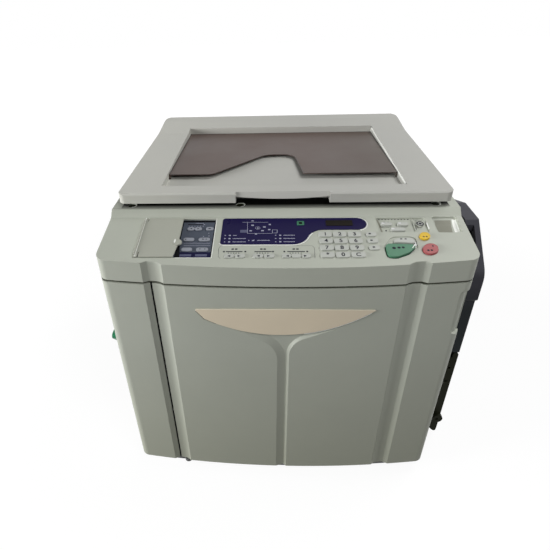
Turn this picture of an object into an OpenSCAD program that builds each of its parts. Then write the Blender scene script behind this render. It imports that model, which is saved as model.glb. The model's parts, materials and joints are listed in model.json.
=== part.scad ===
// Digital duplicator, stored with both paper trays folded up against its sides.
// Millimetres, +Z up, the operator stands on the -Y side.
// The origin lies on the floor under the middle of the stored machine.

/* [Body] */
// Width of the housing across its side panels
body_w = 650; // [620:5:700]
// Depth of the housing from its front corners to the rear panel
body_d = 650; // [650:1:700]
// How far the curved front stands out at the middle
front_bulge = 22.5; // [16:0.5:26]
// Radius of the upright front corners
corner_r = 20; // [12:1:24]
// Height of the feet under the base frame
foot_h = 12; // [8:1:24]
// Radius of each foot
foot_r = 22; // [15:1:30]
// Distance of the feet from the sides of the housing
foot_inset = 60; // [40:1:90]
// Height of the lower edge of the door and the panels
skirt_z = 30; // [26:1:50]
// Height of the seam between the door and the control panel
seam_z = 524; // [505:1:540]
// Width of the seams between neighbouring covers
seam_gap = 3; // [2:0.5:4]
// Thickness of the side panels
side_t = 9; // [6:1:14]
// Thickness of the rear panel
rear_t = 15; // [13:1:20]

/* [Upright channels] */
// Distance of the sharp outer edge of each channel from the middle
channel_outer_x = 243; // [235:1:252]
// Width of the channels, the soft inner slope included
channel_w = 37; // [34:1:45]
// Depth of the channels
channel_depth = 6; // [4:0.5:8]
// Width of the steep outer wall seen from the front
channel_wall = 10; // [6:1:12]
// Width of the soft inner slope
channel_slope = 16; // [12:1:20]

/* [Front door] */
// Thickness of the door at its edges
door_t = 16; // [14:1:20]
// Gap between the door and the inner cover behind it
bay_d = 31; // [28:1:40]
// Gap between the door and the corner panel at its hinged edge
door_gap = 4; // [3.5:0.5:5]
// Width of the centre groove
groove_w = 22; // [16:1:30]
// Sideways place of the centre groove
groove_x = 2; // [-10:1:10]
// Depth of the centre groove and its flare
groove_depth = 5; // [2:0.5:6]
// Width of the soft slope at the left of the groove
groove_slope = 15; // [8:0.5:16]
// Width of the steep slope at the right of the groove
groove_wall = 4.5; // [3:0.5:8]
// Radius of the curve at the left of the flare
flare_left_r = 52; // [40:1:56]
// Radius of the curve at the right of the flare
flare_right_r = 42; // [34:1:48]
// Height at which the left edge of the groove turns off
flare_left_z = 393; // [386:1:400]
// Height at which the right edge of the groove turns off
flare_right_z = 401; // [396:1:406]
// How far the right edge follows the badge plate round, in degrees
rim_turn = 13.5; // [8:0.5:14]
// Lower end of the finger grip around the right corner
grip_z = 408; // [380:1:420]
// Height of the finger grip
grip_h = 96; // [80:1:100]
// Width of the finger grip seen from the front
grip_w = 21; // [16:1:26]
// Depth of the finger grip
grip_depth = 5; // [4.5:0.5:7]
// Radius of the hinge pins of the door
door_pin_r = 4; // [3:0.5:4]
// Length of the hinge pins of the door
door_pin_l = 8; // [5:1:9]

/* [Badge plate] */
// Width of the badge plate
badge_w = 315; // [300:1:318]
// Height of the badge plate at its middle
badge_h = 57.5; // [54:0.5:60]
// Height of its upper edge above the floor
badge_z = 480.5; // [476:0.5:486]
// Sideways place of its middle
badge_x = 3; // [0:1:6]
// Radius of its lower edge
badge_low_r = 294; // [290:1:310]
// Sideways place of the lowest point of that edge
badge_low_x = -6; // [-10:1:-2]
// How far its upper edge bows up
badge_bow = 4.5; // [3:0.5:5]
// Width of its slanted left end
badge_slant = 14.5; // [8:0.5:18]
// Thickness of the badge plate
badge_t = 2; // [1:0.5:4]

/* [Inside the door] */
// Thickness of the inner cover
inner_t = 12; // [8:1:16]
// Radius of the print drum
drum_r = 92; // [80:1:95]
// Length of the print drum
drum_l = 330; // [250:5:380]
// Sideways place of the drum axis
drum_x = -40; // [-60:1:0]
// Height of the drum axis
drum_z = 290; // [250:1:320]
// Clearance around the drum and its frame
drum_gap = 8; // [5:1:10]
// Radius of the ink cartridge
ink_r = 36; // [28:1:40]
// Distance of the cartridge axis above the drum axis
ink_rise = 30; // [20:1:35]
// Width of the green pull of the drum
drum_pull_w = 110; // [90:1:120]

/* [Control panel] */
// Height of the control panel at the front corners
panel_z = 568.8; // [560:0.2:580]
// Tilt of the control panel
panel_tilt = 10; // [8:0.5:11]
// Depth of the tilted surface behind the front corners
panel_d = 117; // [117:0.5:120]
// Steeper tilt of the brow behind it
brow_tilt = 43; // [40:1:60]
// Height of the ledge below the platen cover
ledge_z = 601; // [598:0.5:606]
// Depth of the shallow recess of the mode keys
mode_depth = 3; // [2:0.5:4]
// Depth of the clip tray at the right
clip_depth = 8; // [7:0.5:12]
// Height of the larger keys above the panel
key_t = 3.5; // [2.5:0.5:5]

/* [Platen cover] */
// Distance of the cover's front edge behind the front corners
cover_y = 131.7; // [131:0.1:136]
// Gap between the cover's rear edge and the rear face of the housing
cover_back_gap = 2; // [0:0.5:6]
// Distance of the cover's sides from the sides of the housing
cover_inset = 15; // [10:1:30]
// Gap between the ledge and the cover's underside
cover_gap = 10.3; // [8:0.1:12]
// Thickness of the cover at its front
cover_t = 19.7; // [18:0.1:24]
// Extra height of the raised rear strip
cover_rise = 8; // [4:0.5:10]
// Radius of the rear corners of the cover
cover_back_r = 30; // [15:1:40]
// Width of the recess in the cover
recess_w = 465.5; // [400:0.5:490]
// Depth of the recess from front to back
recess_d = 378; // [330:1:385]
// Distance of the recess behind the cover's front edge
recess_y = 37; // [30:1:50]
// Thickness of the floor left under the recess
recess_floor = 6; // [4:0.5:7]
// Width of the finger cut in the cover's front edge
lift_w = 174; // [120:1:200]
// Distance of the hinge axis in front of the cover's rear edge
hinge_in = 8.5; // [8:0.5:12]
// Height of the hinge axis above the cover's underside
hinge_up = 6.5; // [6:0.5:8]
// Radius of the hinge pins of the cover
hinge_pin_r = 4; // [3:0.5:5]
// Radius of the hinge barrels
hinge_barrel_r = 7; // [6.5:0.5:7.5]
// Width of each hinge
hinge_w = 44; // [30:1:60]
// Distance of each hinge from the middle
hinge_x = 215; // [150:1:225]

/* [Document pocket] */
// Thickness of the smoked sheet
sheet_t = 1.6; // [1:0.1:2.4]
// Distance of its front edge behind the front of the recess
sheet_y = 70; // [55:1:90]
// Height of its front edge above the recess floor
sheet_lift = 8; // [6:0.5:9]
// Radius of the thumb notch
notch_r = 36; // [25:1:42]
// Sideways place of the thumb notch
notch_x = -5; // [-30:1:30]
// Depth of the thumb notch
notch_d = 126; // [100:1:140]

/* [Folded trays] */
// Distance of the outer face of the folded trays from the sides of the housing
tray_out = 60; // [56:1:70]
// Thickness of the folded trays
tray_t = 35; // [32:1:40]
// Thickness of the floor plate of the trays
tray_floor = 11; // [9:1:14]
// Thickness of the upright walls of the trays
tray_wall = 10; // [7:1:12]
// Distance of the receiving tray behind the front corners
tray_y = 97.5; // [90:0.5:110]
// Length of the receiving tray across the paper
tray_l = 372; // [350:1:400]
// How far its upper part stands out at the front
tray_head = 8.5; // [4:0.5:12]
// Height of the receiving tray's hinge
tray_hinge_z = 266; // [250:1:280]
// Top of the folded receiving tray
tray_top_z = 554.5; // [548:0.5:562]
// Distance of the feed tray behind the front corners
feed_y = 172; // [165:1:185]
// Length of the feed tray across the paper
feed_l = 340; // [320:1:380]
// Height of the feed tray's hinge
feed_hinge_z = 215; // [195:1:230]
// Top of the folded feed tray
feed_top_z = 475; // [450:1:480]
// Reach of the green guide lever in front of the feed tray
lever_reach = 46; // [35:1:50]
// Radius of the tray hinge barrels
tray_barrel_r = 6; // [5:0.5:7]
// Radius of the tray hinge pins
tray_pin_r = 3; // [2:0.5:3.5]

/* [Hidden] */

// How far a cutting shape reaches past the surface that it cuts
over = 1;
// Gap around pins in their bores, and between pieces that nearly touch
pin_gap = 0.3;
contact_gap = 0.3;

half_w = body_w / 2;

// The stored machine reaches from the badge plate on its curved front to the rear panel.
mid_y = (body_d - front_bulge - badge_t) / 2;

// Radius of the curved front, from its width and how far it stands out
front_r = (half_w * half_w + front_bulge * front_bulge) / (2 * front_bulge);
front_axis_y = front_r - front_bulge;
function front_y(x) = front_axis_y - sqrt(front_r * front_r - x * x);

// The round corners run into the curved front without an edge
corner_axis_x = half_w - corner_r;
corner_axis_y = front_axis_y - sqrt(pow(front_r - corner_r, 2) - corner_axis_x * corner_axis_x);
front_a = asin(corner_axis_x / (front_r - corner_r));
front_steps = 18;
corner_steps = 12;

// Heights of the covers above and below the seams
door_z = skirt_z;
door_top_z = seam_z - seam_gap / 2;
fascia_z = seam_z + seam_gap / 2;
base_top_z = skirt_z - 2;
inner_y = door_t + bay_d;
rear_y = body_d - rear_t;
bay_left_x = -channel_outer_x + channel_wall;

// Door: its hinge axis stands in the soft slope of the left channel
door_left_x = bay_left_x + door_gap;
door_hinge_x = door_left_x + 15;
door_hinge_y = 0;

// Drum: how far its end plate stands in front of the inner cover's face, and its thickness
drum_front_y = inner_y + 2;
drum_plate_t = 14;

// Panel surface and ledge
crease_z = panel_z + panel_d * tan(panel_tilt);
ledge_y = panel_d + (ledge_z - crease_z) / tan(brow_tilt);
deck_y = ledge_y + 33;
screw_y = ledge_y + 17;
screw_x = [-290, -80, 285];
screw_r = 8;

// Platen glass and the white mat above it
glass_w = 444;
glass_free_d = 220;
glass_d = body_d - glass_free_d;
glass_y = deck_y + 18;
glass_t = 4;

// Platen cover
cover_w = body_w - 2 * cover_inset;
cover_back_y = body_d - cover_back_gap;
cover_d = cover_back_y - cover_y;
cover_z = ledge_z + cover_gap;
cover_top_z = cover_z + cover_t;
cover_hinge_y = cover_back_y - hinge_in;
cover_hinge_z = cover_z + hinge_up;
recess_z = cover_z + recess_floor;
recess_back_y = cover_y + recess_y + recess_d;
sheet_d = recess_d - sheet_y - over;

// Sub panel pocket in the control panel, and the flap over its left part
sub_x = -258;
sub_w = 135;
sub_s = 4;
sub_l = 109;
sub_depth = 4;
sub_plate_t = 1.5;
flap_w = 73;
flap_t = 2;
flap_hinge_n = 2.4;
flap_pin_r = 1.2;
flap_roll_r = 2;

// Places of the recesses on the panel: sideways, up the slope, width and length
mode_at = [169, 71.5, 89, 42.5];
clip_at = [270.5, 70.5, 44, 46.5];

// Shallow dish that holds the start key and the pale key above it
dish_depth = 1.5;

// Display window: lower edge at its left, its step, and its upper edge
display_left = -110;
display_right = 151;
display_low = 38;
display_step = 79;
display_top = 113;

// Tray hinge axes
tray_x = half_w + tray_out;
tray_inner_x = tray_x - tray_t;
tray_axis_x = tray_x - tray_barrel_r;
tray_base = tray_barrel_r + 2;
bracket_arm = 22;
bracket_post = 20;
knob_r = 12;
knob_l = 8;
knob_z = 66;

// Rim of the tray around the mouth that it feeds
inlet_rim = 20;

// Outline of the receiving tray above its hinge: sloping front, flat top, falling back
tray_top = tray_top_z - tray_hinge_z;
tray_chamfer = [84.5, 75.5];
tray_flat = 76;
tray_back_fall = 48;

// ---------------------------------------------------------------- helpers

// Moves a piece from the front corner line to the origin on the floor.
module seat() translate([0, -mid_y, 0]) children();

// Frame of the tilted panel: X across, Y up the slope, Z out of the surface.
module on_panel() translate([0, 0, panel_z]) rotate([panel_tilt, 0, 0]) children();

// Points of the curved front from left to right, moved back by an inset
function front_arc(inset) = [
    for (i = [-front_steps : front_steps])
        let (a = front_a * i / front_steps)
        [(front_r - inset) * sin(a), front_axis_y - (front_r - inset) * cos(a)]
];

// Points of one round corner, from the curved front to the side
function corner_arc(side, inset) = [
    for (i = [1 : corner_steps])
        let (a = front_a + (90 - front_a) * i / corner_steps)
        [
            side * (corner_axis_x + (corner_r - inset) * sin(a)),
            corner_axis_y - (corner_r - inset) * cos(a)
        ]
];

function reversed(points) = [for (i = [len(points) - 1 : -1 : 0]) points[i]];

// Height of a flat arc over half its chord h, at the share t of that half
function bow(h, sag, t) =
    let (r = (h * h + sag * sag) / (2 * sag))
    sqrt(r * r - h * h * t * t) - (r - sag);

// Outline with round corners; each corner is [x, y, radius]
function heading(a, b) = atan2(b[1] - a[1], b[0] - a[0]);
function turn(d) = d > 180 ? d - 360 : d < -180 ? d + 360 : d;
function rounded(corners, steps = 6) = [
    for (i = [0 : len(corners) - 1])
        let (
            p = corners[i],
            before = corners[(i + len(corners) - 1) % len(corners)],
            after = corners[(i + 1) % len(corners)],
            a = heading(before, p),
            t = turn(heading(p, after) - a),
            r = p[2],
            s = sign(t),
            back = r * tan(abs(t) / 2),
            c = [p[0] - back * cos(a) - s * r * sin(a), p[1] - back * sin(a) + s * r * cos(a)]
        )
        each (r == 0 ? [[p[0], p[1]]] : [
            for (j = [0 : steps])
                let (b = a + t * j / steps)
                [c[0] + s * r * sin(b), c[1] - s * r * cos(b)]
        ])
];

// Rectangle with round corners, from its lower left corner
function round_box(x, y, w, h, r) = rounded([[x, y, r], [x + w, y, r], [x + w, y + h, r], [x, y + h, r]]);

// Plan of the housing: curved front, round front corners, square back
module body_plan(back, inset = 0)
    polygon(concat(
        [[-half_w + inset, back]],
        reversed(corner_arc(-1, inset)), front_arc(inset), corner_arc(1, inset),
        [[half_w - inset, back]]
    ));

module body_slab(z0, z1, back, inset = 0)
    translate([0, 0, z0]) linear_extrude(z1 - z0) body_plan(back, inset);

// Plan of a skin that follows the curved front, between two distances from it
module front_skin(outside, inside) polygon(concat(front_arc(-outside), reversed(front_arc(inside))));

// Block between two corners
module block(low, high) translate(low) cube(high - low);

// Cylinder along X, Y or Z from a start point
module rod_x(p, r, l) translate(p) rotate([0, 90, 0]) cylinder(r = r, h = l, $fn = 48);
module rod_y(p, r, l) translate(p) rotate([-90, 0, 0]) cylinder(r = r, h = l, $fn = 64);
module rod_z(p, r, l) translate(p) cylinder(r = r, h = l, $fn = 48);

// Profile drawn in Y and Z, run along X
module along_x(x0, x1) translate([x0, 0, 0]) rotate([90, 0, 90]) linear_extrude(x1 - x0) children();

// Profile drawn in X and Z, run along Y
module along_y(y0, y1) translate([0, y1, 0]) rotate([90, 0, 0]) linear_extrude(y1 - y0) children();

// Upright channel in the front: steep outer wall, flat floor, hollow inner slope
module channel_cut(side, z0, z1) {
    steps = 6;
    inner_x = channel_outer_x - channel_w;
    deep_x = channel_outer_x - channel_wall;
    clear_y = -front_bulge - 5;
    slope = [
        for (i = [0 : steps])
            let (t = i / steps, x = inner_x + channel_slope * t)
            [side * x, front_y(x) + channel_depth * (1 - (1 - t) * (1 - t))]
    ];
    translate([0, 0, z0]) linear_extrude(z1 - z0)
        polygon(concat(slope, [
            [side * deep_x, front_y(deep_x) + channel_depth],
            [side * channel_outer_x, front_y(channel_outer_x)],
            [side * (channel_outer_x + over), clear_y],
            [side * (inner_x - over), clear_y]
        ]));
}

// ---------------------------------------------------------------- housing

// Base frame, set back under the covers, with a lug for the lower hinge pin of the door
module base_frame() {
    inset = 14;
    lug_wall = 4.5;
    lug_z = base_top_z - door_pin_l - 3;
    color("dimgray") seat()
        difference() {
            union() {
                body_slab(foot_h, base_top_z, body_d - inset, inset);
                rod_z([door_hinge_x, door_hinge_y, lug_z], door_pin_r + lug_wall, base_top_z - lug_z);
            }
            rod_z([door_hinge_x, door_hinge_y, base_top_z - door_pin_l - over],
                  door_pin_r + pin_gap, door_pin_l + 2 * over);
        }
}

module foot(side, back) {
    y = back ? body_d - foot_inset : foot_inset;
    color("dimgray") seat() rod_z([side * (half_w - foot_inset), y, 0], foot_r, foot_h);
}

module main_housing() {
    front = inner_y + inner_t;
    left = -half_w + side_t;
    right = half_w - side_t;
    mouth_d = 70;
    color("gainsboro") seat()
        difference() {
            block([left, front, base_top_z], [right, rear_y, fascia_z]);
            rod_y([drum_x, front - over, drum_z], drum_r + drum_gap, drum_l + drum_gap);
            feed_inlet(left - over, left + mouth_d);
            delivery_outlet(right - mouth_d, right + over);
        }
}

// Mouth that takes the paper from the feed tray, on the left
module feed_inlet(x0, x1) {
    rise = [30, 165];
    block([x0, feed_y + inlet_rim, feed_hinge_z + rise[0]],
          [x1, feed_y + feed_l - inlet_rim, feed_hinge_z + rise[1]]);
}

// Mouth that drops the printed sheets, on the right
module delivery_outlet(x0, x1) {
    rim = 30;
    rise = [34, 144];
    block([x0, tray_y + rim, tray_hinge_z + rise[0]],
          [x1, tray_y + tray_l - rim, tray_hinge_z + rise[1]]);
}

module left_side_panel() {
    color("gainsboro") seat()
        difference() {
            block([-half_w, inner_y, skirt_z], [-half_w + side_t, rear_y, fascia_z]);
            feed_inlet(-half_w - over, -half_w + side_t + over);
        }
}

module right_side_panel() {
    color("gainsboro") seat()
        difference() {
            block([half_w - side_t, door_t + seam_gap, skirt_z], [half_w, rear_y, fascia_z]);
            delivery_outlet(half_w - side_t - over, half_w + over);
        }
}

// Rear cover with two banks of vent slots and the mains inlet
module rear_panel() {
    slots = 10;
    slot = [150, 5, 7];
    pitch = 12;
    bank_x = [-250, 90];
    bank_z = 340;
    inlet = [-255, 58, 34, 30];
    inlet_d = 11;
    core_gap = 5;
    pin = [2, 5];
    color("gainsboro") seat() {
        difference() {
            block([-half_w, rear_y, skirt_z], [half_w, body_d, fascia_z]);
            for (x = bank_x, i = [0 : slots - 1])
                translate([x, body_d - slot[2], bank_z + pitch * i])
                    cube([slot[0], slot[2] + over, slot[1]]);
            translate([inlet[0], body_d - inlet_d, inlet[1]]) cube([inlet[2], inlet_d + over, inlet[3]]);
        }
        // pins of the inlet: two above, one below
        for (p = [[0.28, 0.62], [0.72, 0.62], [0.5, 0.28]])
            translate([
                inlet[0] + inlet[2] * p[0] - pin[0] / 2,
                body_d - inlet_d - over,
                inlet[1] + inlet[3] * p[1] - pin[1] / 2
            ])
                cube([pin[0], inlet_d - core_gap + over, pin[1]]);
    }
}

module corner_panel() {
    color("gainsboro") seat()
        difference() {
            intersection() {
                body_slab(skirt_z, door_top_z, inner_y);
                block([-half_w - over, -front_bulge - over, skirt_z], [bay_left_x, inner_y, door_top_z]);
            }
            channel_cut(-1, skirt_z - over, door_top_z + over);
        }
}

module top_housing() {
    fit = 0.5;
    color("gainsboro") seat()
        difference() {
            block([-half_w, deck_y, fascia_z], [half_w, body_d, ledge_z]);
            block([-glass_w / 2 - fit, glass_y - fit, ledge_z - glass_t],
                  [glass_w / 2 + fit, glass_y + glass_d + fit, ledge_z + over]);
        }
}

module platen_glass() {
    color("lightblue") seat()
        block([-glass_w / 2, glass_y, ledge_z - glass_t], [glass_w / 2, glass_y + glass_d, ledge_z]);
}

// ---------------------------------------------------------------- behind the door

module inner_cover() {
    color("darkgray") seat()
        difference() {
            block([bay_left_x, inner_y, base_top_z], [half_w - side_t, inner_y + inner_t, fascia_z]);
            rod_y([drum_x, inner_y - over, drum_z], drum_r + drum_gap, inner_t + 2 * over);
        }
}

module print_drum() {
    color("dimgray") seat()
        rod_y([drum_x, drum_front_y, drum_z], drum_r, drum_l);
}

// End plate of the drum, with the seat of the ink cartridge and a round rim
module drum_frame() {
    rim_r = drum_r - 4;
    dish = [rim_r - 8, 4];
    color("silver") seat()
        difference() {
            rod_y([drum_x, drum_front_y - drum_plate_t, drum_z], rim_r, drum_plate_t);
            difference() {
                rod_y([drum_x, drum_front_y - drum_plate_t - over, drum_z], dish[0], dish[1] + over);
                rod_y([drum_x, drum_front_y - drum_plate_t - 2 * over, drum_z + ink_rise],
                      ink_r + 6, dish[1] + 3);
            }
            rod_y([drum_x, drum_front_y - drum_plate_t - over, drum_z + ink_rise],
                  ink_r + pin_gap, drum_plate_t + 2 * over);
        }
}

module ink_cartridge() {
    cap = [ink_r - 8, 3];
    front = drum_front_y - drum_plate_t - 6;
    color("black") seat() {
        rod_y([drum_x, front, drum_z + ink_rise], ink_r, drum_plate_t + 6);
        rod_y([drum_x, front - cap[1], drum_z + ink_rise], cap[0], cap[1] + over);
    }
}

// Bow-shaped pull across the lower part of the end plate
module drum_handle() {
    back = drum_front_y - drum_plate_t + 4;
    depth = 16;
    h = 26;
    post = 18;
    drop = 50;
    color("seagreen") seat()
        difference() {
            along_y(back - depth, back)
                polygon(round_box(drum_x - drum_pull_w / 2, drum_z - drop - h / 2, drum_pull_w, h, 10));
            block([drum_x - drum_pull_w / 2 + post, back - depth + 6, drum_z - drop - h],
                  [drum_x + drum_pull_w / 2 - post, back + over, drum_z - drop + h]);
        }
}

// ---------------------------------------------------------------- control panel

module panel_body() {
    front = -front_bulge - 5;
    intersection() {
        body_slab(fascia_z, ledge_z + over, deck_y);
        along_x(-half_w - over, half_w + over)
            polygon([
                [front, fascia_z],
                [front, panel_z + front * tan(panel_tilt)],
                [panel_d, crease_z],
                [ledge_y, ledge_z],
                [deck_y, ledge_z],
                [deck_y, fascia_z]
            ]);
    }
}

// Clip tray: steep right wall, and a floor that rises to a low rear wall
module clip_cut() {
    lean = 3;
    ramp = [17, 3];
    right = clip_at[0] + clip_at[2];
    back = clip_at[1] + clip_at[3];
    intersection() {
        translate([0, 0, -clip_depth]) linear_extrude(clip_depth + 10)
            polygon(round_box(clip_at[0], clip_at[1], clip_at[2], clip_at[3], 6));
        along_y(clip_at[1] - over, back + over)
            polygon([
                [clip_at[0] - over, -clip_depth],
                [right - lean, -clip_depth],
                [right, 0],
                [right + over, 10],
                [clip_at[0] - over, 10]
            ]);
        along_x(clip_at[0] - over, right + over)
            polygon([
                [clip_at[1] - over, -clip_depth],
                [back - ramp[0], -clip_depth],
                [back, -ramp[1]],
                [back + over, -ramp[1]],
                [back + over, 10],
                [clip_at[1] - over, 10]
            ]);
    }
}

// Dish of the start key: round at its left, pointed at its right
module dish_cut()
    translate([0, 0, -dish_depth]) linear_extrude(dish_depth + 10)
        polygon(rounded([
            [171.3, 2.2, 8], [171.3, 33, 14], [190, 59.5, 16], [229.5, 59, 9],
            [228, 29.5, 4], [210.8, 11.5, 25], [188.3, 0.3, 22]
        ]));

// Shallow recess of the mode keys, with a thin wall beside the knob
module mode_cut() {
    wall_x = 233.7;
    wall = [1.6, 34];
    difference() {
        translate([0, 0, -mode_depth]) linear_extrude(mode_depth + 10)
            polygon(round_box(mode_at[0], mode_at[1], mode_at[2], mode_at[3], 5));
        translate([wall_x, mode_at[1] + 6, -mode_depth - over])
            cube([wall[0], wall[1], mode_depth + over - contact_gap]);
    }
}

module control_panel() {
    screw_d = 5;
    color("gainsboro") seat()
        difference() {
            panel_body();
            for (side = [-1, 1]) channel_cut(side, fascia_z - over, ledge_z);
            on_panel() {
                translate([sub_x, sub_s, -sub_depth]) cube([sub_w, sub_l, sub_depth + 10]);
                clip_cut();
                mode_cut();
                dish_cut();
            }
            for (x = screw_x) rod_z([x, screw_y, ledge_z - screw_d], screw_r, screw_d + over);
            rod_z([door_hinge_x, door_hinge_y, fascia_z - over], door_pin_r + pin_gap, door_pin_l + 3);
        }
}

// Outline of the display: low left part, a soft step made of two arcs, and a round right end
module display_outline() {
    step_x = [15, 73.6];
    rise = display_step - display_low;
    run = step_x[1] - step_x[0];
    bend = 2 * atan(rise / run);
    r = run / (2 * sin(bend));
    lead = r * tan(bend / 2);
    round_r = 5;
    end_r = (display_top - display_step) / 2 - 0.2;
    polygon(rounded([
        [display_left, display_top, round_r],
        [display_left, display_low, round_r],
        [step_x[0] + lead, display_low, 0.98 * r],
        [step_x[1] - lead, display_step, 0.98 * r],
        [display_right, display_step, end_r],
        [display_right, display_top, end_r]
    ], 8));
}

module display_window() {
    color("midnightblue") seat() on_panel() linear_extrude(1.2) display_outline();
}

module lcd_window() {
    color("darkolivegreen") seat() on_panel()
        translate([0, 0, 1.2]) linear_extrude(0.8) polygon(round_box(78, 89, 48, 16, 2));
}

module status_led() {
    color("limegreen") seat() on_panel()
        translate([0, 0, 1.2]) linear_extrude(0.8) polygon(round_box(26, 91, 13, 12, 2));
}

// Key with round corners, centred
module key(x, s, w, h, t, n = 0, r = 3)
    translate([0, 0, n]) linear_extrude(t) polygon(round_box(x - w / 2, s - h / 2, w, h, r));

// Three groups of keys along the panel's front edge: first key, width, count
module setting_keys() {
    s = 7;
    h = 10;
    gap = 1;
    groups = [[-101, 17.5, 2], [-52, 18, 2], [-2.5, 15.5, 3]];
    color("whitesmoke") seat() on_panel()
        for (g = groups, i = [0 : g[2] - 1])
            key(g[0] + g[1] / 2 + i * (g[1] + gap), s, g[1], h, 2, 0, 4);
}

// Keypad of twelve keys and the three keys beside it
module number_keys() {
    first = [74, 9];
    pitch = [25.6, 18.3];
    size = [24, 13];
    extra = [154.5, 18.5, 11];
    color("whitesmoke") seat() on_panel() {
        for (row = [0 : 3], col = [0 : 2])
            key(first[0] + pitch[0] * col, first[1] + pitch[1] * row, size[0], size[1], 2.5, 0, 4.5);
        for (row = [1 : 3]) key(extra[0], first[1] + pitch[1] * row, extra[1], extra[2], 2.5, 0, 4.5);
    }
}

module mode_keys() {
    color("whitesmoke") seat() on_panel() {
        for (p = [[186, 94.6, 20], [215, 94.6, 20], [204, 79, 26]])
            key(p[0], p[1], p[2], 9, mode_depth + 1.5, -mode_depth, 4);
    }
}

module selector_knob() {
    at = [245.7, 95];
    r = 6.6;
    color("silver") seat() on_panel()
        translate([at[0], at[1], -mode_depth]) cylinder(r = r, h = mode_depth + 1, $fn = 48);
}

// Leaf-shaped start key
module start_key() {
    color("mediumseagreen") seat() on_panel()
        translate([0, 0, -dish_depth]) linear_extrude(dish_depth + key_t)
            polygon(rounded([
                [228, 34, 5], [210, 13.5, 25], [188, 2.2, 22], [173.3, 4, 7.5], [173.3, 36.5, 8]
            ]));
}

// Pale key with an arched top above the start key
module interval_key() {
    color("whitesmoke") seat() on_panel()
        translate([0, 0, -dish_depth]) linear_extrude(dish_depth + key_t - 1)
            polygon(rounded([[185, 43.2, 2.5], [201, 53.5, 20], [222, 53, 9], [227.5, 38.2, 5]]));
}

// Oval outline, turned by an angle
function oval(x, s, long, short, angle, steps = 48) = [
    for (i = [0 : steps - 1])
        let (a = 360 * i / steps, p = long * cos(a), q = short * sin(a))
        [x + p * cos(angle) - q * sin(angle), s + p * sin(angle) + q * cos(angle)]
];

module trial_key() {
    color("gold") seat() on_panel() linear_extrude(key_t) polygon(oval(245, 57.5, 10.2, 8.6, 55));
}

module stop_key() {
    color("salmon") seat() on_panel() linear_extrude(key_t) polygon(oval(246.5, 23, 14.6, 11.6, 48));
}

module sub_keypad() {
    fit = 0.4;
    color("slategray") seat() on_panel()
        translate([sub_x + fit, sub_s + fit, -sub_depth])
            cube([sub_w - 2 * fit, sub_l - 2 * fit, sub_plate_t]);
}

// Keys of the sub panel, each with its place and width: open rows right of the flap, and rows below it
module sub_keypad_keys() {
    n = sub_plate_t - sub_depth;
    size = [9, 2];
    open_rows = [
        [26.5, [[-167.6, 19], [-140.5, 21]]],
        [54, [[-167.3, 19], [-139.6, 20.5]]],
        [85, [[-167.2, 12.8], [-153.8, 12.8], [-132.8, 14]]]
    ];
    covered = [[-236, 16], [-208, 16]];
    color("silver") seat() on_panel()
        for (row = open_rows, k = concat(row[1], covered)) key(k[0], row[0], k[1], size[0], size[1], n, 4);
}

// Flap over the left part of the sub panel: rolled at its hinged edge, with a raised round tab
module sub_panel_flap() {
    x = sub_x + over;
    roll_end = 8;
    tab = [flap_w - 2, 42, 8, 1];
    slant = [4.5, 38];
    slot_x = 6;
    slot_w = 2;
    slots = [[sub_s - over, 13], [sub_s + sub_l - 8, 10]];
    color("gainsboro") seat() on_panel() {
        translate([0, 0, contact_gap])
            linear_extrude(flap_t)
                difference() {
                    polygon(rounded([
                        [x, sub_s, 1.5], [x + flap_w - slant[0], sub_s, 1.5], [x + flap_w, slant[1], 6],
                        [x + flap_w, sub_s + sub_l, 1.5], [x, sub_s + sub_l, 1.5]
                    ]));
                    for (p = slots) translate([x + slot_x, p[0]]) square([slot_w, p[1]]);
                }
        translate([x + tab[0], tab[1], contact_gap]) cylinder(r = tab[2], h = flap_t + tab[3], $fn = 48);
        translate([x, sub_s + roll_end, flap_hinge_n]) rotate([-90, 0, 0])
            cylinder(r = flap_roll_r, h = sub_l - 2 * roll_end, $fn = 32);
        translate([x, sub_s + roll_end / 2, flap_hinge_n]) rotate([-90, 0, 0])
            cylinder(r = flap_pin_r, h = sub_l - roll_end, $fn = 24);
    }
}

// ---------------------------------------------------------------- platen cover

module cover_plan() {
    front_corner_r = 12;
    w = cover_w / 2;
    polygon(rounded([
        [-w, cover_y, front_corner_r], [w, cover_y, front_corner_r],
        [w, cover_back_y, cover_back_r], [-w, cover_back_y, cover_back_r]
    ], 8));
}

// Side view of the cover: low front, a kink, and the raised rear strip
module cover_profile() {
    edge = 3;
    back_edge = 8;
    rise_y = cover_back_y - 133;
    top_y = cover_back_y - 45;
    polygon([
        [cover_y, cover_z],
        [cover_y, cover_top_z - edge],
        [cover_y + edge, cover_top_z],
        [rise_y, cover_top_z],
        [top_y, cover_top_z + cover_rise],
        [cover_back_y - back_edge, cover_top_z + cover_rise],
        [cover_back_y, cover_top_z + cover_rise - back_edge],
        [cover_back_y, cover_z]
    ]);
}

// Finger cut below the front edge: bowed upper side, and a bevel above it
module lift_cut() {
    steps = 10;
    end_h = 11.5;
    sag = 4;
    depth = 22;
    bevel = [6, 14];
    w = lift_w / 2;
    along_y(cover_y - over, cover_y + depth)
        polygon(concat(
            [[-w, cover_z - over]],
            [for (i = [-steps : steps]) [w * i / steps, cover_z + end_h - bow(w, sag, i / steps)]],
            [[w, cover_z - over]]
        ));
    along_x(-w, w)
        polygon([
            [cover_y - over, cover_top_z - bevel[1]],
            [cover_y, cover_top_z - bevel[1]],
            [cover_y + bevel[0], cover_top_z],
            [cover_y + bevel[0], cover_top_z + over],
            [cover_y - over, cover_top_z + over]
        ]);
}

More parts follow.
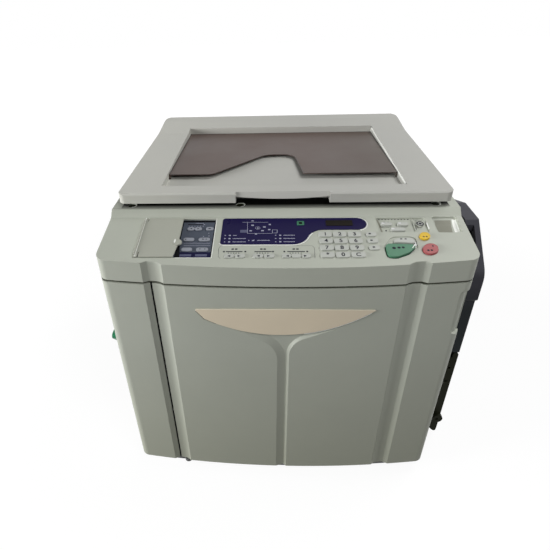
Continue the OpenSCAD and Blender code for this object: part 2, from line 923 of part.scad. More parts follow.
module platen_cover() {
    notch_gap = 2;
    notch_in = 14;
    notch_up = 10.5;
    pin_seat = 3;
    recess_front = cover_y + recess_y;
    color("gainsboro") seat() {
        difference() {
            intersection() {
                translate([0, 0, cover_z]) linear_extrude(cover_t + cover_rise + over) cover_plan();
                along_x(-cover_w / 2 - over, cover_w / 2 + over) cover_profile();
            }
            block([-recess_w / 2, recess_front, recess_z],
                  [recess_w / 2, recess_back_y, cover_top_z + cover_rise + over]);
            lift_cut();
            for (side = [-1, 1])
                block([side * hinge_x - hinge_w / 2 - notch_gap, cover_hinge_y - notch_in, cover_z - over],
                      [side * hinge_x + hinge_w / 2 + notch_gap, cover_back_y + over,
                       cover_hinge_z + notch_up]);
        }
        for (side = [-1, 1])
            rod_x([side * hinge_x - hinge_w / 2 - pin_seat, cover_hinge_y, cover_hinge_z],
                  hinge_pin_r, hinge_w + 2 * pin_seat);
    }
}

module cover_hinges() {
    color("dimgray") seat()
        for (side = [-1, 1])
            difference() {
                union() {
                    rod_x([side * hinge_x - hinge_w / 2, cover_hinge_y, cover_hinge_z],
                          hinge_barrel_r, hinge_w);
                    block([side * hinge_x - hinge_w / 2, cover_hinge_y - hinge_barrel_r, ledge_z],
                          [side * hinge_x + hinge_w / 2, cover_hinge_y + hinge_barrel_r, cover_hinge_z]);
                }
                rod_x([side * hinge_x - hinge_w, cover_hinge_y, cover_hinge_z],
                      hinge_pin_r + pin_gap, 2 * hinge_w);
            }
}

module platen_pad() {
    margin = 4;
    color("white") seat()
        block([-glass_w / 2 - margin, glass_y - margin, ledge_z + contact_gap],
              [glass_w / 2 + margin, glass_y + glass_d + margin, cover_z]);
}

// Sheet outline: X across, Y to the rear, with the lopsided thumb notch in its front edge
module sheet_outline() {
    w = recess_w / 2 - over;
    wide = [-142, 44];
    round_r = 10;
    crown_w = notch_r * 0.8;
    polygon(rounded([
        [-w, 0, 0],
        [wide[0], 0, 2 * round_r],
        [notch_x - crown_w, notch_d, notch_r],
        [notch_x + notch_r - 2, notch_d, notch_r * 0.8],
        [wide[1], 0, round_r / 2],
        [w, 0, 0],
        [w, sheet_d, 0],
        [-w, sheet_d, 0]
    ], 8));
}

// Smoked sheet: its rear edge lies on the recess floor, two feet hold up its front corners
module document_pocket() {
    tilt = asin(sheet_lift / sheet_d);
    w = recess_w / 2 - over;
    foot = 2.5;
    front = recess_back_y - over - sheet_d * cos(tilt);
    color("rosybrown") seat() {
        translate([0, recess_back_y - over, recess_z + contact_gap]) rotate([-tilt, 0, 0])
            translate([0, -sheet_d, 0]) linear_extrude(sheet_t) sheet_outline();
        for (side = [-1, 1])
            block([side * (w - foot / 2) - foot / 2, front + contact_gap, recess_z + contact_gap],
                  [side * (w - foot / 2) + foot / 2, front + foot, recess_z + sheet_lift + over]);
    }
}

// ---------------------------------------------------------------- front door

// Lower edge of the badge plate
function badge_low(x) =
    badge_z - badge_h + badge_low_r - sqrt(badge_low_r * badge_low_r - pow(x - badge_low_x, 2));

// Badge outline in X and Z: bowed upper edge, deep lower curve, slanted left end, pointed right end
module badge_leaf() {
    steps = 16;
    h = badge_w / 2;
    left = badge_x - h;
    end_top = badge_z - badge_bow;
    low_w = badge_w - badge_slant;
    tip_h = 3;
    polygon(concat(
        [[left, end_top - tip_h]],
        [for (i = [0 : 2 * steps])
            let (x = left + badge_slant + low_w * i / (2 * steps))
            [x, min(badge_low(x), end_top - over)]],
        [for (i = [steps : -1 : -steps]) [badge_x + h * i / steps, end_top + bow(h, badge_bow, i / steps)]]
    ));
}

module door_badge() {
    color("tan") seat()
        intersection() {
            along_y(-front_bulge - badge_t - over, 10) badge_leaf();
            translate([0, 0, badge_z - badge_h - 5]) linear_extrude(badge_h + 10) front_skin(badge_t, 0);
        }
}

// Edges of the centre groove, the curves of its flare, and where they lead on each side
function groove_edge(side) = groove_x + side * groove_w / 2;
function flare_r(side) = side < 0 ? flare_left_r : flare_right_r;
function flare_aim(side) = [groove_edge(side), side < 0 ? flare_left_z : flare_right_z];
function flare_end(side) =
    let (reach = side < 0 ? [103, 16] : [99, 17])
    [groove_edge(side) + side * reach[0], badge_z - badge_h + reach[1]];
function flare_turn(side) =
    let (from = flare_aim(side), to = flare_end(side))
    90 - atan((to[1] - from[1]) / abs(to[0] - from[0]));

// On the right the edge then runs round the badge plate, about the middle of its lower curve
rim_from = [badge_low_x, badge_z - badge_h + badge_low_r] - flare_aim(1);
rim_r = rim_from[1] * sin(flare_turn(1)) - rim_from[0] * cos(flare_turn(1));
rim_start = rim_from[0] * sin(flare_turn(1)) + rim_from[1] * cos(flare_turn(1));

// Point of the right edge at a distance past its turn-off, moved out by a margin
function past_turn(along, margin) =
    let (a = flare_turn(1))
    flare_aim(1) + [along * sin(a) + margin * cos(a), along * cos(a) - margin * sin(a)];

// Centre groove with its flare in X and Z, wider by a margin that its sloping sides cover
module groove_outline(margin) {
    left = flare_turn(-1);
    right = flare_turn(1);
    low = badge_z - badge_h;
    rim = rim_r + margin;
    lead = rim * tan(rim_turn / 2);
    bend = past_turn(rim_start + lead, margin);
    end_a = 90 - right + rim_turn;
    polygon(rounded([
        [groove_edge(-1) - margin, door_z - over, 0],
        [groove_edge(-1) - margin, flare_left_z - margin * tan(left / 2), flare_left_r - margin],
        [flare_end(-1)[0] - margin * cos(left), flare_end(-1)[1] - margin * sin(left), 0],
        [flare_end(-1)[0] + 30, low + 34, 0],
        [badge_x + badge_w / 2 - 40, low + 43, 0],
        [badge_x + badge_w / 2 - 4, badge_z - badge_bow - 3, 0],
        [bend[0] + lead * cos(end_a), bend[1] + lead * sin(end_a), 0],
        [bend[0], bend[1], rim],
        [groove_edge(1) + margin, flare_right_z - margin * tan(right / 2), flare_right_r - margin],
        [groove_edge(1) + margin, door_z - over, 0]
    ], 10));
}

// Sloping side of the groove: up its edge, around the flare, straight on, and round the badge plate
module groove_side(side, run, margin) {
    a = flare_turn(side);
    r = flare_r(side);
    start_z = flare_aim(side)[1] - r * tan(a / 2);
    below = start_z - door_z + 2 * over;
    on = side < 0 ? 120 : rim_start - r * tan(a / 2);
    rim_sweep = rim_turn + 4;
    translate([groove_edge(side) + side * r, 0, start_z])
        mirror([side > 0 ? 1 : 0, 0, 0]) rotate([90, 0, 0]) {
            rotate([90, 0, 0]) linear_extrude(below) side_profile(r, 1, run, margin);
            rotate_extrude(angle = a, $fn = 96) side_profile(r, 1, run, margin);
            rotate([0, 0, a]) translate([0, on, 0]) {
                rotate([90, 0, 0]) linear_extrude(on) side_profile(r, 1, run, margin);
                if (side > 0)
                    translate([r + rim_r, 0, 0]) rotate([0, 0, 180 - rim_sweep])
                        rotate_extrude(angle = rim_sweep, $fn = 720) side_profile(rim_r, -1, run, margin);
            }
        }
}

// Wedge that falls from the door's face at the groove's edge to the groove's floor
module side_profile(edge, into, run, margin) {
    lead = margin + 0.5;
    rise = groove_depth * lead / run;
    polygon([
        [edge - into * lead, front_bulge + rise],
        [edge - into * lead, front_bulge - groove_depth - rise],
        [edge + into * (run + lead), front_bulge - groove_depth - rise]
    ]);
}

// Space of the groove, deepest near its right side
module groove_cut() {
    margin = 2;
    difference() {
        intersection() {
            along_y(-front_bulge - over, door_t) groove_outline(margin);
            translate([0, 0, door_z - 2 * over]) linear_extrude(badge_z - door_z)
                front_skin(5, groove_depth);
        }
        groove_side(-1, groove_slope, margin);
        groove_side(1, groove_wall, margin);
    }
}

// Shallow finger grip that runs around the right corner to the door's rear edge
module grip_cut() {
    reach = 5;
    intersection() {
        along_y(-front_bulge - over, door_t + over)
            polygon(rounded([
                [half_w - grip_w, grip_z, grip_w * 0.6],
                [half_w + reach, grip_z, 0],
                [half_w + reach, grip_z + grip_h, 0],
                [half_w - grip_w, grip_z + grip_h, 4]
            ]));
        difference() {
            body_slab(grip_z - over, grip_z + grip_h + over, door_t + 2 * over, -reach);
            body_slab(grip_z - 2 * over, grip_z + grip_h + 2 * over, door_t + 3 * over, grip_depth);
        }
    }
}

// Shallow fields between the ribs on the back of the door
module rib_fields() {
    depth = 8;
    rim = [30, 24, 22];
    fields = 3;
    rib = 10;
    x0 = door_left_x + rim[0];
    x1 = half_w - grip_w - rim[1];
    z0 = door_z + rim[2];
    z1 = door_top_z - rim[2];
    h = (z1 - z0 - rib * (fields - 1)) / fields;
    for (i = [0 : fields - 1])
        block([x0, door_t - depth, z0 + i * (h + rib)], [x1, door_t + over, z0 + i * (h + rib) + h]);
}

module front_door() {
    pin_root = 2;
    color("gainsboro") seat() {
        difference() {
            intersection() {
                body_slab(door_z, door_top_z, door_t);
                block([door_left_x, -front_bulge - over, door_z], [half_w + over, door_t, door_top_z]);
            }
            for (side = [-1, 1]) channel_cut(side, door_z - over, door_top_z + over);
            groove_cut();
            grip_cut();
            rib_fields();
        }
        rod_z([door_hinge_x, door_hinge_y, door_z - door_pin_l], door_pin_r, door_pin_l + pin_root);
        rod_z([door_hinge_x, door_hinge_y, door_top_z - pin_root],
              door_pin_r, door_pin_l + pin_root + seam_gap);
    }
}

// ---------------------------------------------------------------- folded trays

// Side view of the receiving tray: Y from its front wall, Z from its hinge, walls moved in by an inset
module tray_outline(inset) {
    chamfer_a = atan(tray_chamfer[1] / tray_chamfer[0]);
    // the sloping wall moves in at right angles, which shifts its ends along the walls it meets
    slide = inset * (1 - sin(chamfer_a)) / cos(chamfer_a);
    lift = inset * (1 - cos(chamfer_a)) / sin(chamfer_a);
    step_z = 146;
    step_h = 8;
    low = inset > 0 ? 30 : tray_base;
    head = inset > 0 ? -inset : tray_head;
    shift = inset > 0 ? (tray_head + inset) * tan(chamfer_a) : 0;
    corner_z = tray_top - tray_chamfer[1] - inset / cos(chamfer_a) + shift;
    top_y = tray_chamfer[0] - tray_head + lift;
    wall = inset > 0 ? [] : [[0, step_z, 0], [-head, step_z + step_h, 0]];
    polygon(rounded(concat(
        [[inset, low, 0]],
        wall,
        [
            [-head, corner_z, 36],
            [top_y, tray_top - inset, 6],
            [top_y + tray_flat, tray_top - inset, 10],
            [tray_l - 2 * tray_back_fall, tray_top - tray_back_fall * 0.8 - inset, 12],
            [tray_l - inset, tray_top - 2 * tray_back_fall, 12],
            [tray_l - inset, low, 0]
        ]
    )));
}

module receiving_tray() {
    window = [35.5, 67, 235];
    notch = [8, 23];
    knuckles = 3;
    knuckle_w = 60;
    end = 40;
    pitch = (tray_l - 2 * end - knuckle_w) / (knuckles - 1);
    color("darkslategray") seat() {
        difference() {
            translate([0, tray_y, tray_hinge_z]) along_x(tray_inner_x, tray_x) tray_outline(0);
            translate([0, tray_y, tray_hinge_z]) along_x(tray_inner_x - over, tray_x - tray_floor)
                tray_outline(tray_wall);
            // window in the sloping wall, and the notch above it
            block([tray_inner_x - over, tray_y + window[0], tray_hinge_z + window[2]],
                  [tray_x - tray_floor, tray_y + window[1], tray_top_z + over]);
            block([tray_inner_x - over, tray_y + window[1] - over, tray_hinge_z + window[2]],
                  [tray_inner_x + notch[0], tray_y + window[1] + notch[1], tray_top_z + over]);
        }
        for (i = [0 : knuckles - 1])
            tray_knuckle(tray_axis_x, tray_y + end + i * pitch, tray_hinge_z, knuckle_w);
    }
}

// Barrel with the arm that carries it, bored for the hinge pin
module tray_knuckle(x, y, z, w) {
    difference() {
        union() {
            rod_y([x, y, z], tray_barrel_r, w);
            block([x - tray_barrel_r, y, z], [x + tray_barrel_r, y + w, z + tray_base + 2]);
        }
        rod_y([x, y - over, z], tray_pin_r + pin_gap, w + 2 * over);
    }
}

// Side guides that fold flat into the receiving tray
module tray_fences() {
    size = [20, 10];
    z = [60, 235];
    color("black") seat()
        for (y = [tray_y + 80, tray_y + tray_l - 110])
            block([tray_x - tray_floor - size[0], y, tray_hinge_z + z[0]],
                  [tray_x - tray_floor, y + size[1], tray_hinge_z + z[1]]);
}

// Lug of a fixed frame that holds the tray's hinge pin
module frame_lug(x, y, z, w, top) {
    rod_y([x, y, z], tray_barrel_r, w);
    block([x - tray_barrel_r, y, top - over], [x + tray_barrel_r, y + w, z]);
}

// Round knob with a bore, in front of a frame's arm
module frame_knob(x, y) {
    bore_r = 3;
    difference() {
        rod_y([x, y, knob_z], knob_r, knob_l + over);
        rod_y([x - 1.5, y - over, knob_z], bore_r, knob_l);
    }
}

// Fixed frame below the receiving tray: two arms, a rail, and a hooked leg with a knob
module delivery_bracket() {
    low = 85;
    rail = 20;
    lug_w = 12;
    top = tray_hinge_z - tray_base;
    leg = [20, 12, 14];
    leg_x = tray_x - leg[0];
    hole_r = 3;
    hole_d = 6;
    slot_h = 4;
    hole_x = tray_x - 12;
    color("black") seat() {
        difference() {
            block([half_w, tray_y, low], [tray_x, tray_y + tray_l, top]);
            block([half_w + bracket_post, tray_y + bracket_arm, low + rail],
                  [tray_x + over, tray_y + tray_l - bracket_arm, top + over]);
            rod_y([hole_x, tray_y - over, top - 31], hole_r, hole_d);
            along_y(tray_y - over, tray_y + hole_d)
                polygon(round_box(hole_x - 5, top - 74, 10, slot_h, 1.5));
        }
        for (y = [tray_y, tray_y + tray_l - lug_w])
            frame_lug(tray_axis_x, y, tray_hinge_z, lug_w, top);
        rod_y([tray_axis_x, tray_y + over, tray_hinge_z], tray_pin_r, tray_l - 2 * over);
        along_y(tray_y, tray_y + leg[1])
            polygon(rounded([
                [leg_x, low + over, 0], [leg_x, leg[2] + 14, 6], [leg_x + 8, leg[2] + 4, 3],
                [tray_x - 1.5, leg[2] - 3, 3.5], [tray_x, leg[2] + 10, 3], [tray_x, low + over, 0]
            ]));
        frame_knob(tray_x - knob_r + 4, tray_y - knob_l);
    }
}

module feed_tray() {
    base = feed_hinge_z + tray_base;
    knuckle_w = 60;
    end = 40;
    round_r = 30;
    hollow_r = 8;
    color("darkslategray") seat() {
        difference() {
            along_x(-tray_x, -tray_inner_x)
                polygon(rounded([
                    [feed_y, base, 0], [feed_y + feed_l, base, 0],
                    [feed_y + feed_l, feed_top_z, round_r], [feed_y, feed_top_z, round_r]
                ]));
            along_x(-tray_x + tray_floor, -tray_inner_x + over)
                polygon(round_box(feed_y + tray_wall, base + 20, feed_l - 2 * tray_wall,
                                  feed_top_z - tray_wall - base - 20, hollow_r));
        }
        for (y = [feed_y + end, feed_y + feed_l - end - knuckle_w])
            tray_knuckle(-tray_axis_x, y, feed_hinge_z, knuckle_w);
    }
}

// Green lever of the paper guide: stands on the tray's front wall, with a rounded tip
module feed_guide_lever() {
    z = feed_hinge_z + 68;
    t = 12;
    root_y = feed_y - contact_gap;
    color("seagreen") seat()
        along_x(-tray_x, -tray_x + t)
            polygon(rounded([
                [root_y, z + 8.5, 0],
                [feed_y - lever_reach, z + 6, 6],
                [feed_y - lever_reach - over, z - 3, 5],
                [feed_y - lever_reach / 2, z - 31, 8],
                [root_y, z - 32, 0]
            ]));
}

// Fixed frame below the feed tray: two arms, a rail, and a leg with a knob at its rear arm
module feed_bracket() {
    low = 40;
    rail = 20;
    lug_w = 12;
    top = feed_hinge_z - tray_base;
    color("black") seat() {
        difference() {
            block([-tray_x, feed_y, low], [-half_w, feed_y + feed_l, top]);
            block([-tray_x - over, feed_y + bracket_arm, low + rail],
                  [-half_w - bracket_post, feed_y + feed_l - bracket_arm, top + over]);
        }
        for (y = [feed_y, feed_y + feed_l - lug_w])
            frame_lug(-tray_axis_x, y, feed_hinge_z, lug_w, top);
        rod_y([-tray_axis_x, feed_y + over, feed_hinge_z], tray_pin_r, feed_l - 2 * over);
        frame_knob(-tray_x + knob_r - 4, feed_y + feed_l - over);
    }
}

// Pick-up roller on its shaft, in the mouth above the feed tray
module feed_rollers() {
    at = [-half_w + side_t + 32, feed_hinge_z + 110];
    shaft_r = 5;
    roller = [20, 60];
    color("black") seat() {
        rod_y([at[0], feed_y + inlet_rim, at[1]], shaft_r, feed_l - 2 * inlet_rim);
        rod_y([at[0], feed_y + (feed_l - roller[1]) / 2, at[1]], roller[0], roller[1]);
    }
}

// ---------------------------------------------------------------- nodes

base_frame();
foot(-1, false);  // foot_front_left
foot(1, false);  // foot_front_right
foot(-1, true);  // foot_back_left
foot(1, true);  // foot_back_right
main_housing();
left_side_panel();
right_side_panel();
rear_panel();
corner_panel();
inner_cover();
print_drum();
drum_frame();
drum_handle();
ink_cartridge();
control_panel();
display_window();
lcd_window();
status_led();
setting_keys();
number_keys();
mode_keys();
selector_knob();
start_key();
trial_key();
stop_key();
interval_key();
sub_keypad();
sub_keypad_keys();
sub_panel_flap();
top_housing();
platen_glass();
platen_cover();
document_pocket();
platen_pad();
cover_hinges();
front_door();
door_badge();
receiving_tray();
tray_fences();
delivery_bracket();
feed_tray();
feed_guide_lever();
feed_bracket();
feed_rollers();
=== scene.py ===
"""Looks of the digital duplicator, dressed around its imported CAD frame.

Sizes and places are in millimetres, and MM turns them into metres. x runs right from the middle,
z up from the floor, and y back from the front corner line, which lies MID_Y in front of the
origin. A place on the control panel is (x, s), with s measured up the panel's slope.
"""
import json
import math

import bmesh
import bpy
from mathutils import Matrix, Vector
from mathutils.bvhtree import BVHTree


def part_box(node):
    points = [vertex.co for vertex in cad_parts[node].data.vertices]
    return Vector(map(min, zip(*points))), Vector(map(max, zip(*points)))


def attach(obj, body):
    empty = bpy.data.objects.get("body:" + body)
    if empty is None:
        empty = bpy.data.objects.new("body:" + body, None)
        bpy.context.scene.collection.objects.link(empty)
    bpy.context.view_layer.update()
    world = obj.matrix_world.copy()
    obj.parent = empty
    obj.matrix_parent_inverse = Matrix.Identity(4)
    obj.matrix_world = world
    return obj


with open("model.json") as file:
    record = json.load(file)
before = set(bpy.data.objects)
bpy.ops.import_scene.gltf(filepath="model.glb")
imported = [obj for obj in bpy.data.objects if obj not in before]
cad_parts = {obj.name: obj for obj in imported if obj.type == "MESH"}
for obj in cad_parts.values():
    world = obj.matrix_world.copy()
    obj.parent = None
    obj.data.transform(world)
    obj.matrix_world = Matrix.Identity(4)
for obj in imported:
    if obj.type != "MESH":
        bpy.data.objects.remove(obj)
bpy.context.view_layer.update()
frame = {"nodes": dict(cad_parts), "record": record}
NODES = frame["nodes"]
BODY_OF = {node: body for body, nodes in frame["record"]["behaviour"]["bodies"].items() for node in nodes}
SLOT_OF = {part["node"]: part["material_slot"] for part in frame["record"]["subparts"]}

MM = 0.001
X, Y, Z = range(3)
MID_Y = 312.75            # from the front corner line back to the origin
PANEL_Z = 568.8           # height of the panel's face on the front corner line
PANEL_TILT = math.radians(10)
LEDGE_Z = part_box("top_housing")[1].z / MM
WELL_X = (-290, -80, 285)
WELL_Y = 146.4            # the screw wells in the ledge between the panel's brow and the cover


# ---------------------------------------------------------------- shader nodes

WHITE = (1.0, 1.0, 1.0, 1.0)
DARKEST = (0.0, 0.0, 0.0, 1.0)
MOTTLE_SCALE = 7.0        # noise cells to the metre
GRAIN_SCALE = 1400.0
NOISE_LOW, NOISE_HIGH = 0.3, 0.7


def srgb(r, g, b):
    """Display colour, 0 to 255, as a linear colour."""
    def linear(v):
        v /= 255.0
        return v / 12.92 if v <= 0.04045 else ((v + 0.055) / 1.055) ** 2.4
    return (linear(r), linear(g), linear(b), 1.0)


def new_material(name):
    """A material with its node tree and its shader node."""
    material = bpy.data.materials.new(name)
    material.use_nodes = True
    return material, material.node_tree, material.node_tree.nodes["Principled BSDF"]


def object_coordinates(tree):
    """Metres from the origin, since every piece's own origin is there."""
    return tree.nodes.new("ShaderNodeTexCoord").outputs["Object"]


def noise(tree, vector, scale, detail):
    """Soft noise about 0.5."""
    node = tree.nodes.new("ShaderNodeTexNoise")
    node.inputs["Scale"].default_value = scale
    node.inputs["Detail"].default_value = detail
    node.inputs["Roughness"].default_value = 0.6
    tree.links.new(vector, node.inputs["Vector"])
    return node.outputs["Fac"]


def remap(tree, value, low, high, out_low, out_high):
    """Values from low to high, spread over out_low to out_high and held there."""
    node = tree.nodes.new("ShaderNodeMapRange")
    node.inputs["From Min"].default_value = low
    node.inputs["From Max"].default_value = high
    node.inputs["To Min"].default_value = out_low
    node.inputs["To Max"].default_value = out_high
    tree.links.new(value, node.inputs["Value"])
    return node.outputs["Result"]


def mix_colour(tree, factor, a, b):
    """Colour a at factor 0 and b at 1. A colour is given as a value or as another node's socket."""
    node = tree.nodes.new("ShaderNodeMix")
    node.data_type = "RGBA"
    sockets = {socket.identifier: socket for socket in (*node.inputs, *node.outputs)}
    tree.links.new(factor, sockets["Factor_Float"])
    for name, colour in (("A_Color", a), ("B_Color", b)):
        if isinstance(colour, bpy.types.NodeSocket):
            tree.links.new(colour, sockets[name])
        else:
            sockets[name].default_value = colour
    return sockets["Result_Color"]


def along_axis(tree, axis, start, end):
    """0 to 1 between two places in millimetres along an axis, counted from the origin."""
    split = tree.nodes.new("ShaderNodeSeparateXYZ")
    tree.links.new(object_coordinates(tree), split.inputs[0])
    return remap(tree, split.outputs[axis], start * MM, end * MM, 0.0, 1.0)


def moulded(name, colour, rough=0.5, grain=0.03, mottling=0.03, specular=0.5, edge=0.8, low=None):
    """Moulded plastic: spark-eroded grain, slight mottling and soft edges, with a second tone if given.

    `grain` is the depth of the grain and `edge` the radius of the edges. `low` is (axis, start,
    end, tone): the surface has `tone` up to start and turns to `colour` by end.
    """
    material, tree, shader = new_material(name)
    where = object_coordinates(tree)
    cloud = noise(tree, where, MOTTLE_SCALE, 4.0)
    base = colour
    if low:
        axis, start, end, tone = low
        base = mix_colour(tree, along_axis(tree, axis, start, end), tone, colour)
    darkening = remap(tree, cloud, NOISE_LOW, NOISE_HIGH, 2.2 * mottling, 0.0)
    tree.links.new(mix_colour(tree, darkening, base, DARKEST), shader.inputs["Base Color"])
    roughness = remap(tree, cloud, NOISE_LOW, NOISE_HIGH, rough - 0.04, rough + 0.06)
    tree.links.new(roughness, shader.inputs["Roughness"])
    shader.inputs["Specular IOR Level"].default_value = specular
    normal = None
    if edge:
        soft = tree.nodes.new("ShaderNodeBevel")
        soft.samples = 6
        soft.inputs["Radius"].default_value = edge * MM
        normal = soft.outputs["Normal"]
        tree.links.new(normal, shader.inputs["Normal"])
    if grain:
        bump = tree.nodes.new("ShaderNodeBump")
        bump.inputs["Distance"].default_value = grain * MM
        tree.links.new(noise(tree, where, GRAIN_SCALE, 2.0), bump.inputs["Height"])
        if normal:
            tree.links.new(normal, bump.inputs["Normal"])
        tree.links.new(bump.outputs["Normal"], shader.inputs["Normal"])
    return material


def plain(name, colour, rough=0.4, specular=0.5):
    """Printed ink or a small flat piece, with a faint unevenness."""
    return moulded(name, colour, rough, grain=0.0, mottling=0.02, specular=specular, edge=0.0)


# ---------------------------------------------------------------- materials of the CAD parts

# Darker towards the floor: painted shade for the weaker light low on the front.
BODY = moulded("body_grey", srgb(187, 191, 179), edge=1.0, specular=0.35,
               low=(Z, 60, 400, srgb(172, 175, 159)))
FLAP = moulded("flap_grey", srgb(176, 178, 166), edge=0.8, specular=0.35)
# Paler towards the left end: a painted difference in light across the cover.
COVER = moulded("cover_grey", srgb(188, 188, 182), edge=1.4, specular=0.35,
                low=(X, -300, 60, srgb(206, 206, 198)))
INNER = moulded("inner_grey", srgb(96, 98, 98), rough=0.55)
BLACK = moulded("olive_black", srgb(27, 29, 16), rough=0.6, specular=0.1)
# Almost black low down: painted shade on the lower part of the tray.
SLATE = moulded("slate", srgb(63, 63, 70), edge=2.5, specular=0.15,
                low=(Z, 385, 455, srgb(22, 29, 31)))
GREEN = moulded("grip_green", srgb(20, 135, 90), rough=0.4, edge=1.5)
STEEL = moulded("frame_paint", srgb(70, 72, 72), rough=0.45)
RUBBER = moulded("rubber", srgb(40, 40, 40), rough=0.8)
NAVY = moulded("window_navy", srgb(26, 20, 66), rough=0.3, grain=0.0, mottling=0.05, specular=0.08,
               edge=0.5)
LCD = moulded("lcd_brown", srgb(22, 17, 11), rough=0.3, grain=0.0, specular=0.1, edge=0.4)
LED = moulded("led_green", srgb(36, 108, 76), rough=0.3, grain=0.0, edge=0.4)
KEY = moulded("key_grey", srgb(190, 193, 186), rough=0.45, edge=1.6)
START = moulded("start_green", srgb(84, 134, 106), rough=0.4, edge=2.0, specular=0.3)
TRIAL = moulded("trial_yellow", srgb(232, 192, 50), rough=0.4, edge=2.0, specular=0.3)
STOP = moulded("stop_pink", srgb(174, 92, 92), rough=0.4, edge=2.0, specular=0.3)
KEYPAD = moulded("keypad_blue", srgb(78, 84, 96), specular=0.15)
SUB_KEY = moulded("sub_key_grey", srgb(146, 150, 160), rough=0.4, edge=1.6)
GLASS = moulded("platen_glass", srgb(150, 165, 165), rough=0.05, grain=0.0)
SMOKE = moulded("smoked_sheet", srgb(90, 76, 70), rough=0.4, grain=0.0, specular=0.2,
                low=(X, 232, 60, srgb(82, 72, 65)))
MAT = moulded("white_mat", srgb(225, 225, 222), rough=0.8)
BADGE = moulded("badge_beige", srgb(236, 222, 196), rough=0.35, grain=0.0, edge=0.6)
SCREEN = moulded("drum_screen", srgb(120, 120, 124), rough=0.4)

MATERIAL_OF_SLOT = {
    "body_plastic": BODY, "cover_plastic": COVER, "inner_plastic": INNER, "black_plastic": BLACK,
    "slate_plastic": SLATE, "green_plastic": GREEN, "frame_steel": STEEL, "foot_rubber": RUBBER,
    "roller_rubber": RUBBER, "drum_screen": SCREEN, "display_navy": NAVY, "lcd_brown": LCD,
    "led_green": LED, "key_grey": KEY, "start_green": START, "trial_yellow": TRIAL, "stop_pink": STOP,
    "keypad_blue": KEYPAD, "clear_glass": GLASS, "smoked_plastic": SMOKE, "white_mat": MAT,
    "badge_beige": BADGE,
}
MATERIAL_OF_NODE = {"sub_keypad_keys": SUB_KEY, "sub_panel_flap": FLAP}

for node, part in NODES.items():
    part.data.materials.clear()
    part.data.materials.append(MATERIAL_OF_NODE.get(node) or MATERIAL_OF_SLOT[SLOT_OF[node]])


# ---------------------------------------------------------------- materials of the added pieces

# Dark, black and grey serve for print and for painted shade and shadow in gaps; white for print and a
# painted highlight.
DARK_PRINT_AND_SHADE = plain("dark_print_and_shade", srgb(30, 30, 42), specular=0.1)
BLACK_PRINT_AND_SHADOW = plain("black_print_and_shadow", srgb(12, 12, 16), specular=0.05)
GREY_PRINT_AND_SHADE = plain("grey_print_and_shade", srgb(66, 68, 70), specular=0.1)
SHADE_INK = plain("shade_ink", srgb(150, 150, 137), specular=0.1)
FIELD_INK = plain("field_ink", srgb(96, 98, 124), specular=0.05)
PALE_INK = plain("pale_ink", srgb(168, 170, 190))
WHITE_PRINT_AND_HIGHLIGHT = plain("white_print_and_highlight", srgb(226, 226, 226))
NAVY_INK = plain("navy_ink", srgb(26, 26, 58), specular=0.05)
# Painted highlight on lips and edges that catch the light.
PAINTED_HIGHLIGHT = plain("painted_highlight", srgb(246, 248, 242), rough=0.45)
# Painted shade in the gap round the stop key.
STOP_GAP_SHADE = plain("stop_gap_shade", srgb(150, 66, 78))
# Painted shadow under the cover's front and in the wells, paler towards the ledge's front.
GAP_SHADE = moulded("gap_shade", srgb(10, 10, 8), grain=0.0, specular=0.05, edge=0.0,
                    low=(Y, -179, -165, srgb(160, 162, 154)))
SEAM = plain("seam_shadow", srgb(54, 55, 44), specular=0.1)
# Painted highlight along the badge's top edge.
BADGE_HIGHLIGHT = plain("badge_highlight", srgb(244, 240, 226), rough=0.35)
SHEET_EDGE = plain("sheet_edge", srgb(44, 34, 34), rough=0.3, specular=0.2)


# ---------------------------------------------------------------- outlines and meshes

SHARP_FOLD = math.radians(40)
SAME_POINT = 0.01


def ring(x, y, radius_x, radius_y, steps):
    """Points of a closed circle or oval."""
    turns = [2 * math.pi * i / steps for i in range(steps)]
    return [(x + radius_x * math.cos(turn), y + radius_y * math.sin(turn)) for turn in turns]


def arc(x, y, radius, start, end, steps=12):
    """Points of an arc, angles in degrees."""
    turns = [math.radians(start + (end - start) * i / steps) for i in range(steps + 1)]
    return [(x + radius * math.cos(turn), y + radius * math.sin(turn)) for turn in turns]


def new_piece(name, verts, faces, material, body):
    """Mesh object of one material that rides on a body. Its vertices are in metres."""
    mesh = bpy.data.meshes.new(name)
    mesh.from_pydata(verts, [], faces)
    mesh.materials.append(material)
    piece = bpy.data.objects.new(name, mesh)
    bpy.context.scene.collection.objects.link(piece)
    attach(piece, body)
    return piece


def sheets(name, material, outlines, body):
    """Thin flat outlines of (x, y, z) points, as one piece."""
    verts, faces = [], []
    for outline in outlines:
        faces.append([len(verts) + i for i in range(len(outline))])
        verts.extend((Vector(point) - Vector((0, MID_Y, 0))) * MM for point in outline)
    new_piece(name, verts, faces, material, body)


def turned(name, profile, place, material, body, steps=32):
    """Solid of revolution about an upright axis through a place: (radius, height) points."""
    x, y, z = place
    verts, faces = [], []
    for radius, height in profile:
        circle = ring(x, y - MID_Y, radius, radius, steps)
        verts.extend(Vector((across, back, z + height)) * MM for across, back in circle)
    for level in range(len(profile) - 1):
        for i in range(steps):
            a, b = level * steps + i, level * steps + (i + 1) % steps
            faces.append((a, b, b + steps, a + steps))
    faces.append(list(range(len(verts) - steps, len(verts))))
    mesh = new_piece(name, verts, faces, material, body).data
    for polygon in mesh.polygons:
        polygon.use_smooth = True
    mesh.set_sharp_from_angle(angle=math.radians(35))


